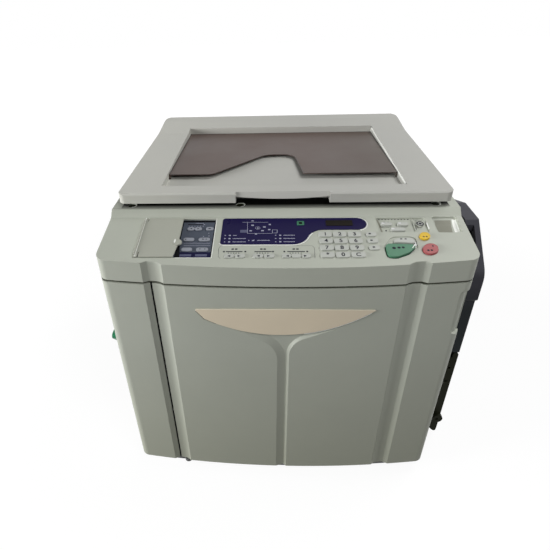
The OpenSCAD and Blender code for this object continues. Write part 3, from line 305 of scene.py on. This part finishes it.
def edge_strip(name, node, material, width, wanted, outward=False, drop=0.0, lift=0.12):
    """Thin strip along chosen sharp edges of a node, on the face that `wanted` accepts.

    `wanted` takes the face's normal and the edge's middle in millimetres, with y from the front
    corner line. An outward strip lies outside the edge, `drop` below it.
    """
    bm = bmesh.new()
    bm.from_mesh(NODES[node].data)
    bmesh.ops.remove_doubles(bm, verts=bm.verts, dist=SAME_POINT * MM)
    bm.normal_update()
    verts, faces = [], []
    for edge in bm.edges:
        if len(edge.link_faces) != 2 or edge.calc_face_angle(0) < SHARP_FOLD:
            continue
        middle = (edge.verts[0].co + edge.verts[1].co) / 2 / MM + Vector((0, MID_Y, 0))
        for face in edge.link_faces:
            if not wanted(face.normal, middle):
                continue
            a, b = edge.verts[0].co.copy(), edge.verts[1].co.copy()
            across = face.normal.cross(b - a).normalized()
            if across.dot(face.calc_center_median() - a) < 0:
                a, b, across = b, a, -across
            side = (-across if outward else across) * width * MM
            up = face.normal * (lift - drop) * MM
            order = (3, 2, 1, 0) if outward else (0, 1, 2, 3)
            faces.append([len(verts) + i for i in order])
            verts.extend((a + up, b + up, b + up + side, a + up + side))
    bm.free()
    new_piece(name, verts, faces, material, BODY_OF[node])


# ---------------------------------------------------------------- print, painted highlights and painted shade on the control panel

PANEL_NODES = (
    "control_panel", "display_window", "lcd_window", "status_led", "setting_keys", "number_keys",
    "mode_keys", "selector_knob", "start_key", "trial_key", "stop_key", "interval_key", "sub_keypad",
    "sub_keypad_keys", "sub_panel_flap",
)
RAY_START = 40            # above the panel's face, and higher than any key


def on_panel(x, s, n=0.0):
    """Point of the control panel in metres: x across, s up its slope, n above it."""
    return Vector((
        x,
        s * math.cos(PANEL_TILT) - n * math.sin(PANEL_TILT) - MID_Y,
        PANEL_Z + s * math.sin(PANEL_TILT) + n * math.cos(PANEL_TILT),
    )) * MM


def surface_of(nodes):
    """All faces of the nodes, in a tree for ray casts."""
    verts, faces = [], []
    for name in nodes:
        mesh = NODES[name].data
        start = len(verts)
        verts.extend(v.co.copy() for v in mesh.vertices)
        faces.extend([start + i for i in polygon.vertices] for polygon in mesh.polygons)
    return BVHTree.FromPolygons(verts, faces)


PANEL_TOP = surface_of(PANEL_NODES)


def panel_height(x, s):
    """How far the topmost surface at a place lies above the panel's face."""
    start = on_panel(x, s, RAY_START)
    down = (on_panel(x, s) - start).normalized()
    hit, _, _, distance = PANEL_TOP.ray_cast(start, down)
    return RAY_START - distance / MM if hit else 0.0


class Print:
    """Flat shapes of one ink on the control panel, joined into one piece."""

    FONT_SIZE = 1.35          # font size for digits 1 high
    FONT_SWELL = 0.03         # and the weight added to their strokes

    def __init__(self, name, material, lift=0.08, body="housing"):
        self.name, self.material, self.lift, self.body = name, material, lift, body
        self.verts, self.faces = [], []

    def shape(self, outline, at=None):
        """Filled outline of (x, s) points, on the surface below its middle or below `at`."""
        middle = at or [sum(places) / len(outline) for places in zip(*outline)]
        n = panel_height(*middle) + self.lift
        start = len(self.verts)
        self.verts.extend(on_panel(x, s, n) for x, s in outline)
        self.faces.append([start + i for i in range(len(outline))])

    def draped(self, near_left, near_right, far_left, far_right, steps=8):
        """Patch between four (x, s) corners that follows the surface."""
        start = len(self.verts)
        for i in range(steps + 1):
            for j in range(steps + 1):
                along, across = i / steps, j / steps
                x, s = (
                    (1 - along) * ((1 - across) * near_left[k] + across * near_right[k])
                    + along * ((1 - across) * far_left[k] + across * far_right[k])
                    for k in (0, 1)
                )
                self.verts.append(on_panel(x, s, panel_height(x, s) + self.lift))
        for i in range(steps):
            for j in range(steps):
                corner = start + i * (steps + 1) + j
                self.faces.append([corner, corner + 1, corner + steps + 2, corner + steps + 1])

    def block(self, x, s, w, h, lean=0.0):
        """Rectangle about (x, s), with its far side moved right by `lean` and its near side left."""
        left, right, near, far = x - w / 2, x + w / 2, s - h / 2, s + h / 2
        self.shape([(left - lean, near), (right - lean, near), (right + lean, far), (left + lean, far)])

    def oval(self, x, s, w, h):
        """Filled oval about (x, s)."""
        self.shape(ring(x, s, w / 2, h / 2, 20))

    def line(self, points, width, closed=False):
        """Stroke along the points, one quadrilateral for each stretch."""
        ends = zip(points, points[1:] + points[:1] if closed else points[1:])
        for (x0, s0), (x1, s1) in ends:
            length = math.hypot(x1 - x0, s1 - s0)
            dx, ds = (x1 - x0) / length * width / 2, (s1 - s0) / length * width / 2
            self.shape([(x0 - dx + ds, s0 - ds - dx), (x1 + dx + ds, s1 + ds - dx),
                        (x1 + dx - ds, s1 + ds + dx), (x0 - dx - ds, s0 - ds + dx)])

    def arrow(self, x, s, size, way):
        """Small triangle that points left (-1) or right (1)."""
        tail, tip = x - way * size / 2, x + way * size / 2
        corners = [(tail, s - size / 2), (tip, s), (tail, s + size / 2)]
        self.shape(corners if way > 0 else corners[::-1])

    def dashes(self, x0, x1, s, high=2.2, pitch=1.9, ink=1.3):
        """Row of short strokes that stands for a line of small print, every third one lower."""
        count = max(1, round((x1 - x0) / pitch))
        for i in range(count):
            tall = high * (1.0 if i % 3 else 0.75)
            self.block(x0 + (i + 0.5) * (x1 - x0) / count, s, ink, tall)

    def digit(self, mark, x, s, high):
        """Digit or sign drawn with the built-in font."""
        curve = bpy.data.curves.new(mark, "FONT")
        curve.body, curve.align_x, curve.align_y = mark, "CENTER", "CENTER"
        curve.size = high * self.FONT_SIZE
        curve.offset = high * self.FONT_SWELL
        carrier = bpy.data.objects.new(mark, curve)
        mesh = bpy.data.meshes.new_from_object(carrier)
        n = panel_height(x, s) + self.lift
        start = len(self.verts)
        self.verts.extend(on_panel(x + v.co.x, s + v.co.y, n) for v in mesh.vertices)
        self.faces.extend([start + i for i in face.vertices] for face in mesh.polygons)
        bpy.data.objects.remove(carrier)
        bpy.data.curves.remove(curve)

    def done(self):
        """Make the piece. Nothing can be added after this."""
        new_piece(self.name, self.verts, self.faces, self.material, self.body)


def display_print():
    """Two columns of status lines, a small drawing of the machine and the lamp's dark centre."""
    ink = Print("display_print", PALE_INK)
    rows = (62.4, 53.4, 44.3)
    for column, line_ends in ((-102.0, (-82.0, -65.6, -65.6)), (-12.4, (21.2, 21.0, 20.7))):
        for s, end in zip(rows, line_ends):
            ink.arrow(column, s, 3.0, 1)
            ink.block(column + 7.6, s, 3.6, 3.2)
            ink.dashes(column + 13.0, end, s)
    ink.arrow(-59.6, 48.2, 3.0, 1)
    ink.block(-52.2, 48.2, 3.6, 3.4, 1.2)
    ink.dashes(-45.6, -23.1, 48.2)
    ink.line([(-73.2, 101.0), (-26.9, 100.6)], 0.7)
    ink.line([(-63.0, 67.6), (-64.4, 101.9)], 0.7)
    ink.line([(-62.5, 68.0), (-19.3, 67.8)], 0.7)
    ink.line([(-18.6, 69.0), (-10.1, 69.0), (-10.0, 77.9), (-18.6, 78.0)], 0.8, closed=True)
    for x, s, w, h in ((-54.7, 91.8, 4.6, 3.6), (-45.2, 83.5, 3.0, 3.0), (-33.1, 86.6, 4.4, 3.2),
                       (-57.6, 75.6, 4.2, 3.0), (-36.4, 75.8, 4.8, 3.0), (-23.4, 94.0, 3.8, 3.4),
                       (-24.4, 78.9, 4.0, 3.0), (-47.8, 66.0, 3.8, 2.6), (-55.1, 105.2, 4.2, 2.6)):
        ink.block(x, s, w, h)
    ink.line(ring(-45.2, 83.5, 4.2, 4.2, 16), 0.6, closed=True)
    ink.done()
    box = Print("display_key_field", FIELD_INK)
    box.shape([(-76.5, 70.2), (-63.9, 70.2), (-64.1, 78.3), (-76.7, 78.3)])
    box.done()
    dark = Print("lamp_centre", BLACK_PRINT_AND_SHADOW)
    dark.block(32.4, 97.0, 6.0, 5.6)
    dark.done()


def setting_print():
    """Marks of the three key groups along the panel's front edge."""
    ink = Print("setting_print", GREY_PRINT_AND_SHADE)
    dark = Print("setting_key_print", DARK_PRINT_AND_SHADE)
    line_s, letters = 19.4, 5
    for start, end, marks in ((-97.3, -71.0, (-101.8, -65.0)), (-48.0, -21.1, (-17.5,)),
                              (8.0, 35.5, (1.7, 40.6))):
        ink.line([(start, line_s), (end, line_s)], 2.4)
        for x in marks:
            ink.oval(x, line_s, 3.6, 4.2)
        for i in range(letters):
            ink.block(start + 3.5 + i * (end - start - 4.0) / letters, 15.4, 1.5, 2.2)
    for x in (-87.1, -81.0, -37.5, -31.8, 18.1, 24.2):
        ink.block(x, 26.0, 4.2, 3.6)
    ink.line([(-104.0, 36.0), (-109.0, 34.0), (-111.6, 28.0), (-110.5, 6.0), (-107.0, 1.4)], 0.5)
    ink.line([(-104.0, 36.0), (50.0, 34.8)], 0.5)
    ink.line([(50.0, 34.8), (53.4, 28.0), (52.6, 3.0)], 0.5)
    for x, way in ((-92.4, -1), (-74.9, 1), (-42.5, -1), (-24.8, 1), (6.5, -1), (36.9, 1)):
        dark.arrow(x, 5.8, 5.0, way)
    ink.done()
    dark.done()


def number_print():
    """Marks of the number keys, and of the three small keys to their right."""
    ink = Print("number_print", DARK_PRINT_AND_SHADE)
    first_x, pitch_x = 74.5, 25.4
    first_s, pitch_s = 8.6, 18.4
    for row, marks in enumerate(("*0C", "789", "456", "123")):
        for column, mark in enumerate(marks):
            ink.digit(mark, first_x + pitch_x * column, first_s + pitch_s * row, 9.0)
    for x, s in ((151.8, 64.6), (152.2, 46.2), (153.4, 28.0)):
        ink.block(x, s, 4.0, 3.4)
    ink.done()


def mode_print():
    """Print in the shallow recess at the panel's upper right, and the spots on its keys."""
    ink = Print("mode_print", DARK_PRINT_AND_SHADE)
    first_x, pitch_x = 176.3, 5.78
    for i in range(10):
        ink.block(first_x + pitch_x * i, 112.6, 2.4, 2.0)
    for x, s, w in ((184.2, 104.4, 4.0), (191.4, 104.4, 4.0), (212.7, 103.8, 4.2), (220.7, 103.8, 4.2),
                    (198.6, 86.8, 4.4), (210.9, 86.8, 4.4)):
        ink.block(x, s, w, 2.4)
    ink.oval(183.5, 79.5, 3.2, 3.2)
    ink.line([(235.3, 113.0), (237.5, 82.9)], 1.2)
    ink.line([(239.8, 108.4), (252.0, 108.2)], 0.7)
    knob_x, knob_s, knob_radius = 245.7, 95, 5.4
    ink.line(ring(knob_x, knob_s, knob_radius, knob_radius, 20), 2.0, closed=True)
    ink.oval(knob_x, knob_s, 5.6, 5.6)
    ink.done()
    light = Print("mode_key_spots", WHITE_PRINT_AND_HIGHLIGHT)
    for x, s in ((180.0, 96.0), (209.4, 96.0), (195.0, 80.2)):
        light.oval(x, s, 6.0, 3.4)
    light.done()


def round_key_print():
    """Marks on the start, interval, trial and stop keys, and a painted highlight beside the start key."""
    ink = Print("round_key_print", DARK_PRINT_AND_SHADE)
    for x, s, w, h in ((186.1, 24.2, 6.2, 6.0), (194.6, 25.2, 5.6, 5.2), (201.6, 25.6, 5.0, 5.0),
                       (203.0, 49.6, 4.0, 3.0), (210.6, 49.6, 4.0, 3.0), (242.2, 54.5, 3.2, 3.0),
                       (247.2, 54.5, 3.2, 3.0), (241.4, 18.2, 4.0, 4.4), (247.0, 18.4, 4.0, 4.4),
                       (251.5, 29.4, 3.4, 3.4)):
        ink.oval(x, s, w, h)
    ink.done()
    light = Print("start_key_highlight", WHITE_PRINT_AND_HIGHLIGHT)
    light.shape([(224.2, 35.0), (227.4, 35.6), (228.4, 45.0), (226.2, 45.8)], at=(226.6, 42.5))
    light.done()


def sub_panel_print():
    """Painted shadow in the gaps, and band, print and flat keys of the dark sub panel."""
    # Painted shadow along the flap's edge, the sub panel's top and its right side.
    shadow = Print("sub_panel_painted_shadow", BLACK_PRINT_AND_SHADOW)
    shadow.shape([(-182.4, 6.0), (-177.6, 6.0), (-181.6, 38.0), (-182.8, 44.0), (-182.9, 112.0),
               (-184.6, 112.0), (-184.6, 44.0), (-186.8, 38.0), (-187.6, 6.0)], at=(-181.0, 20.0))
    shadow.shape([(-184.0, 106.0), (-124.6, 106.0), (-124.6, 111.4), (-184.0, 111.4)], at=(-150, 108))
    shadow.line([(-124.2, 108.0), (-124.2, 8.0)], 1.6)
    shadow.done()
    navy = Print("sub_panel_navy", NAVY_INK, lift=0.05)
    navy.shape([(-179.4, 6.0), (-125.2, 6.0), (-125.2, 20.8), (-180.6, 20.8)], at=(-150, 15))
    navy.done()
    pale = Print("sub_panel_print", PALE_INK)
    pale.dashes(-161.5, -146.0, 103.4, 1.8)
    for i in range(6):
        pale.oval(-172.0 + 5.2 * i, 94.4, 1.8, 1.8)
    pale.oval(-144.5, 99.4, 2.4, 2.4)
    for x, s in ((-142.3, 64.5), (-132.5, 65.7), (-133.6, 73.8)):
        pale.oval(x, s, 2.0, 2.0)
    pale.line([(-175.2, 45.4), (-128.8, 45.2)], 0.7)
    pale.line([(-174.2, 38.6), (-128.0, 38.5)], 0.7)
    pale.done()
    dark = Print("sub_panel_dark_print", BLACK_PRINT_AND_SHADOW)
    dark.line([(-174.0, 99.6), (-148.0, 99.4)], 1.8)
    for x, way in ((-167.2, -1), (-153.6, 1)):
        dark.arrow(x, 85, 3.6, way)
    for x, s, w in ((-133.0, 85, 5.0), (-173.1, 54, 3.0), (-142.0, 54.4, 4.0), (-136.0, 54.4, 3.0),
                    (-144.2, 27.2, 2.4), (-135.9, 27.0, 2.4)):
        dark.oval(x, s, w, 2.4)
    dark.done()
    grey = Print("sub_panel_flat_keys", FIELD_INK, lift=0.12)
    grey.block(-168.2, 12.5, 20.0, 6.0)
    grey.block(-141.0, 12.5, 20.5, 6.0)
    grey.done()


def panel_highlights_and_shade():
    """Painted highlights on the lips of sub panel, key recess, clip tray, start key and flap, and painted
    shade in tray and recess.
    """
    highlights = Print("panel_highlights", PAINTED_HIGHLIGHT)
    highlights.line([(-122.2, 3.6), (-122.2, 113.6)], 1.4)
    highlights.line([(-184.0, 3.2), (-122.2, 3.2)], 1.2)
    highlights.line([(256.6, 115.0), (258.0, 98.0), (258.2, 82.0)], 2.4)
    highlights.draped((304.6, 72.5), (312.6, 76.5), (307.0, 114.0), (313.4, 112.0))
    highlights.line([(222.5, 33.0), (217.0, 25.0)], 1.4)
    highlights.done()
    shade = Print("recess_shade", SHADE_INK, lift=0.05)
    shade.draped((277.0, 75.5), (300.5, 73.5), (275.5, 111.5), (305.0, 112.0))
    shade.line([(173.2, 110.0), (176.0, 73.0)], 3.0)
    shade.done()
    tab = Print("flap_tab_shine", PAINTED_HIGHLIGHT, body="flap")
    tab.shape(ring(-190.6, 45.0, 1.6, 5.6, 16))
    tab.line([(-254.6, 5.8), (-255.2, 113.8)], 1.7)
    tab.done()


# ---------------------------------------------------------------- dark lines, painted highlights and painted shade along the edges of parts

def faces_up(normal, _):
    """Accepts any edge of a top face."""
    return normal.z > 0.9


def cover_and_display_edges():
    """Dark edge of the smoked sheet, and painted highlights on the display's lip and on the wall of the
    cover's recess.
    """
    edge_strip("sheet_edge", "document_pocket", SHEET_EDGE, 1.8, faces_up)
    edge_strip("display_highlight", "display_window", PAINTED_HIGHLIGHT, 2.7,
               lambda normal, at: normal.z > 0.9 and (at.y < 70 or at.x > 138), outward=True, drop=1.1)
    edge_strip("recess_wall_highlight", "platen_cover", PAINTED_HIGHLIGHT, 5.5,
               lambda normal, at: normal.x < -0.9 and 200 < at.x < 260 and at.z > 620, lift=0.06)


def key_gaps():
    """Painted shade in the gaps round the large keys, sunk to the panel's face."""
    for name, node, ink, width, drop in (("start_gap", "start_key", DARK_PRINT_AND_SHADE, 0.9, 4.8),
                                         ("interval_gap", "interval_key", GREY_PRINT_AND_SHADE, 0.8, 3.8),
                                         ("stop_gap", "stop_key", STOP_GAP_SHADE, 0.9, 3.2)):
        edge_strip(name, node, ink, width, faces_up, outward=True, drop=drop)


def front_lines():
    """Painted shadow in the seam below the panel, painted highlights round the badge's top and lower
    right, and a dark line at its lower left.
    """
    edge_strip("seam_line", "control_panel", SEAM, 2.0, lambda normal, at: normal.y < -0.3 and at.z < 526)
    for name, ink, width, chosen in (("badge_highlight", BADGE_HIGHLIGHT, 1.0, lambda at: at.z > 474),
                                     ("badge_rim_highlight", PAINTED_HIGHLIGHT, 1.4, lambda at: at.x > 40 and at.z < 472),
                                     ("badge_edge", DARK_PRINT_AND_SHADE, 0.8, lambda at: at.x < -120 and at.z < 474)):
        edge_strip(name, "door_badge", ink, width, lambda normal, at: normal.y < -0.8 and chosen(at),
                   outward=True, drop=0.4)


# ---------------------------------------------------------------- painted shadow on ledge, door gap and tray, and the screws

def ledge_painted_shadow():
    """Painted shadow on the ledge under the cover, cut out round the wells."""
    front, back, half_length = 134, 186, 308
    hole_radius, no_hole = 9.6, 0.01
    ends = [(-half_length, no_hole)] + [(x, hole_radius) for x in WELL_X] + [(half_length, no_hole)]
    shadow_outlines = []
    for (x0, r0), (x1, r1) in zip(ends, ends[1:]):
        outline = [(x0, front)] + arc(x0, WELL_Y, r0, -90, 90) + [(x0, back), (x1, back)]
        outline += arc(x1, WELL_Y, r1, 90, 270) + [(x1, front)]
        shadow_outlines.append([(x, y, LEDGE_Z + 0.1) for x, y in outline])
    sheets("ledge_painted_shadow", GAP_SHADE, shadow_outlines, "housing")


def door_gap_painted_shadow():
    """Black sheet of painted shadow along the gap between corner panel and door, shifted a little to the
    left.
    """
    lowest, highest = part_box("corner_panel")
    shift, y = 0.8, -2.9
    left, right = highest.x / MM - shift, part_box("front_door")[0].x / MM - shift
    low, high = lowest.z / MM + 1, highest.z / MM + 0.5
    corners = ((left, low), (right, low), (right, high), (left, high))
    sheets("door_gap_painted_shadow", BLACK_PRINT_AND_SHADOW, [[(x, y, z) for x, z in corners]], "housing")


def tray_painted_shadow():
    """Painted shadow on the inner face of the folded tray, on which the fences stand."""
    inner_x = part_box("tray_fences")[1].x / MM - 0.2
    corners = ((120, 470), (250, 470), (250, 543), (180, 543), (120, 492))
    sheets("tray_painted_shadow", BLACK_PRINT_AND_SHADOW, [[(inner_x, y, z) for y, z in corners]], "receiving_tray")


def ledge_screws():
    """Pan-head screws in the three wells, with a painted highlight on one side of each rim and painted
    shade on the other.
    """
    head = [(7.5, 0.1), (7.5, 3.4), (6.6, 4.3), (4.4, 4.7), (1.8, 4.7), (1.2, 3.4)]
    inner, outer = 8.2, 9.8
    well_depth = 5
    for number, x in enumerate(WELL_X):
        turned(f"ledge_screw_{number}", head, (x, WELL_Y, LEDGE_Z - well_depth), BLACK, "housing")
        for name, material, start, end, lift in (("well_highlight", PAINTED_HIGHLIGHT, -80, 60, 0.15),
                                                 ("well_shade", GAP_SHADE, 60, 280, 0.12)):
            rim = arc(x, WELL_Y, inner, start, end) + arc(x, WELL_Y, outer, end, start)
            outline = [(across, back, LEDGE_Z + lift) for across, back in rim]
            sheets(f"{name}_{number}", material, [outline], "housing")


display_print()
setting_print()
number_print()
mode_print()
round_key_print()
sub_panel_print()
cover_and_display_edges()
panel_highlights_and_shade()
key_gaps()
front_lines()
ledge_painted_shadow()
door_gap_painted_shadow()
tray_painted_shadow()
ledge_screws()


# ---------------------------------------------------------------- floor, light, camera, in metres

FLOOR_SIZE = 14
FLOOR_LIT = srgb(105, 105, 105)      # what the floor throws back on the object
FLOOR_SEEN = srgb(230, 230, 230)     # what the camera sees of it
FLOOR_GLOW = 1.07
GLOW_SHARE = (0.86, 1.0)             # of what it sees, near the object and far from it
GLOW_REACH = (0.8, 2.2)              # the distances from the middle between which that share grows
AMBIENT = 0.03
LAMP_AIM = (0, 0, 0.5)
LAMPS = {                            # place, size and power in watts
    "left": ((-2.75, -1.2, 1.05), (0.9, 0.9), 65),
    "near": ((0.9, -1.6, 1.9), (0.8, 0.8), 15),
    "top": ((1.3, 0.5, 2.5), (1.2, 1.2), 28),
    "side": ((-3.0, -0.25, 0.9), (0.6, 0.6), 30),
}
CAMERA_PLACE = (-0.01916, -0.97641, 0.97332)
CAMERA_TURN, CAMERA_PITCH, CAMERA_ROLL = 3.986, 56.123, -2.094     # degrees
CAMERA_LENS, SENSOR_WIDTH = 30.22, 36.0                            # millimetres
CAMERA_SHIFT = (0.0540, 0.0088)


def camera_only(tree, for_camera, for_light):
    """Mix two shaders: what camera, glossy and transmitted rays see, and what lights the object."""
    path = tree.nodes.new("ShaderNodeLightPath")
    seen = path.outputs["Is Camera Ray"]
    for ray in ("Is Glossy Ray", "Is Transmission Ray"):
        either = tree.nodes.new("ShaderNodeMath")
        either.operation = "MAXIMUM"
        tree.links.new(seen, either.inputs[0])
        tree.links.new(path.outputs[ray], either.inputs[1])
        seen = either.outputs[0]
    mix = tree.nodes.new("ShaderNodeMixShader")
    tree.links.new(seen, mix.inputs["Fac"])
    tree.links.new(for_light, mix.inputs[1])
    tree.links.new(for_camera, mix.inputs[2])
    return mix.outputs["Shader"]


def stage():
    """Floor that keeps a faint shadow of the object and fades to white away from it."""
    bpy.ops.mesh.primitive_plane_add(size=FLOOR_SIZE, location=(0, 0, 0))
    floor = bpy.context.object
    floor.name = "floor"
    material, tree, shader = new_material("floor_white")
    shader.inputs["Base Color"].default_value = FLOOR_LIT
    shader.inputs["Roughness"].default_value = 0.9
    shader.inputs["Specular IOR Level"].default_value = 0.0
    pale = tree.nodes.new("ShaderNodeBsdfDiffuse")
    pale.inputs["Color"].default_value = FLOOR_SEEN
    glow = tree.nodes.new("ShaderNodeEmission")
    glow.inputs["Color"].default_value = WHITE
    glow.inputs["Strength"].default_value = FLOOR_GLOW
    away = tree.nodes.new("ShaderNodeVectorMath")
    away.operation = "LENGTH"
    tree.links.new(object_coordinates(tree), away.inputs[0])
    share = remap(tree, away.outputs["Value"], *GLOW_REACH, *GLOW_SHARE)
    share.node.interpolation_type = "SMOOTHSTEP"
    soft = tree.nodes.new("ShaderNodeMixShader")
    tree.links.new(share, soft.inputs["Fac"])
    tree.links.new(pale.outputs["BSDF"], soft.inputs[1])
    tree.links.new(glow.outputs["Emission"], soft.inputs[2])
    both = camera_only(tree, soft.outputs["Shader"], shader.outputs["BSDF"])
    tree.links.new(both, tree.nodes["Material Output"].inputs["Surface"])
    floor.data.materials.append(material)


def area_light(name, place, size, power):
    """Rectangular lamp that faces the middle of the object."""
    light = bpy.data.lights.new(name, "AREA")
    light.shape = "RECTANGLE"
    light.size, light.size_y = size
    light.energy = power
    lamp = bpy.data.objects.new(name, light)
    bpy.context.scene.collection.objects.link(lamp)
    lamp.location = place
    lamp.rotation_euler = (Vector(LAMP_AIM) - Vector(place)).to_track_quat("-Z", "Y").to_euler()


def lighting():
    """White surroundings for the camera, a faint glow on the object, and the lamps."""
    world = bpy.data.worlds.new("studio")
    bpy.context.scene.world = world
    world.use_nodes = True
    tree = world.node_tree
    ambient = tree.nodes["Background"]
    ambient.inputs["Color"].default_value = WHITE
    ambient.inputs["Strength"].default_value = AMBIENT
    backdrop = tree.nodes.new("ShaderNodeBackground")
    backdrop.inputs["Color"].default_value = WHITE
    backdrop.inputs["Strength"].default_value = 1.0
    both = camera_only(tree, backdrop.outputs["Background"], ambient.outputs["Background"])
    tree.links.new(both, tree.nodes["World Output"].inputs["Surface"])
    for name, (place, size, power) in LAMPS.items():
        area_light(name, place, size, power)


def camera():
    """Camera in front of the object and above it, looking down on the panel."""
    data = bpy.data.cameras.new("camera")
    data.sensor_width = SENSOR_WIDTH
    data.lens = CAMERA_LENS
    data.shift_x, data.shift_y = CAMERA_SHIFT
    cam = bpy.data.objects.new("camera", data)
    bpy.context.scene.collection.objects.link(cam)
    aim = Matrix.Translation(CAMERA_PLACE)
    for degrees, axis in ((CAMERA_TURN, "Z"), (CAMERA_PITCH, "X"), (CAMERA_ROLL, "Z")):
        aim = aim @ Matrix.Rotation(math.radians(degrees), 4, axis)
    cam.matrix_world = aim
    bpy.context.scene.camera = cam


stage()
lighting()
camera()
bpy.context.scene.view_settings.view_transform = "Standard"
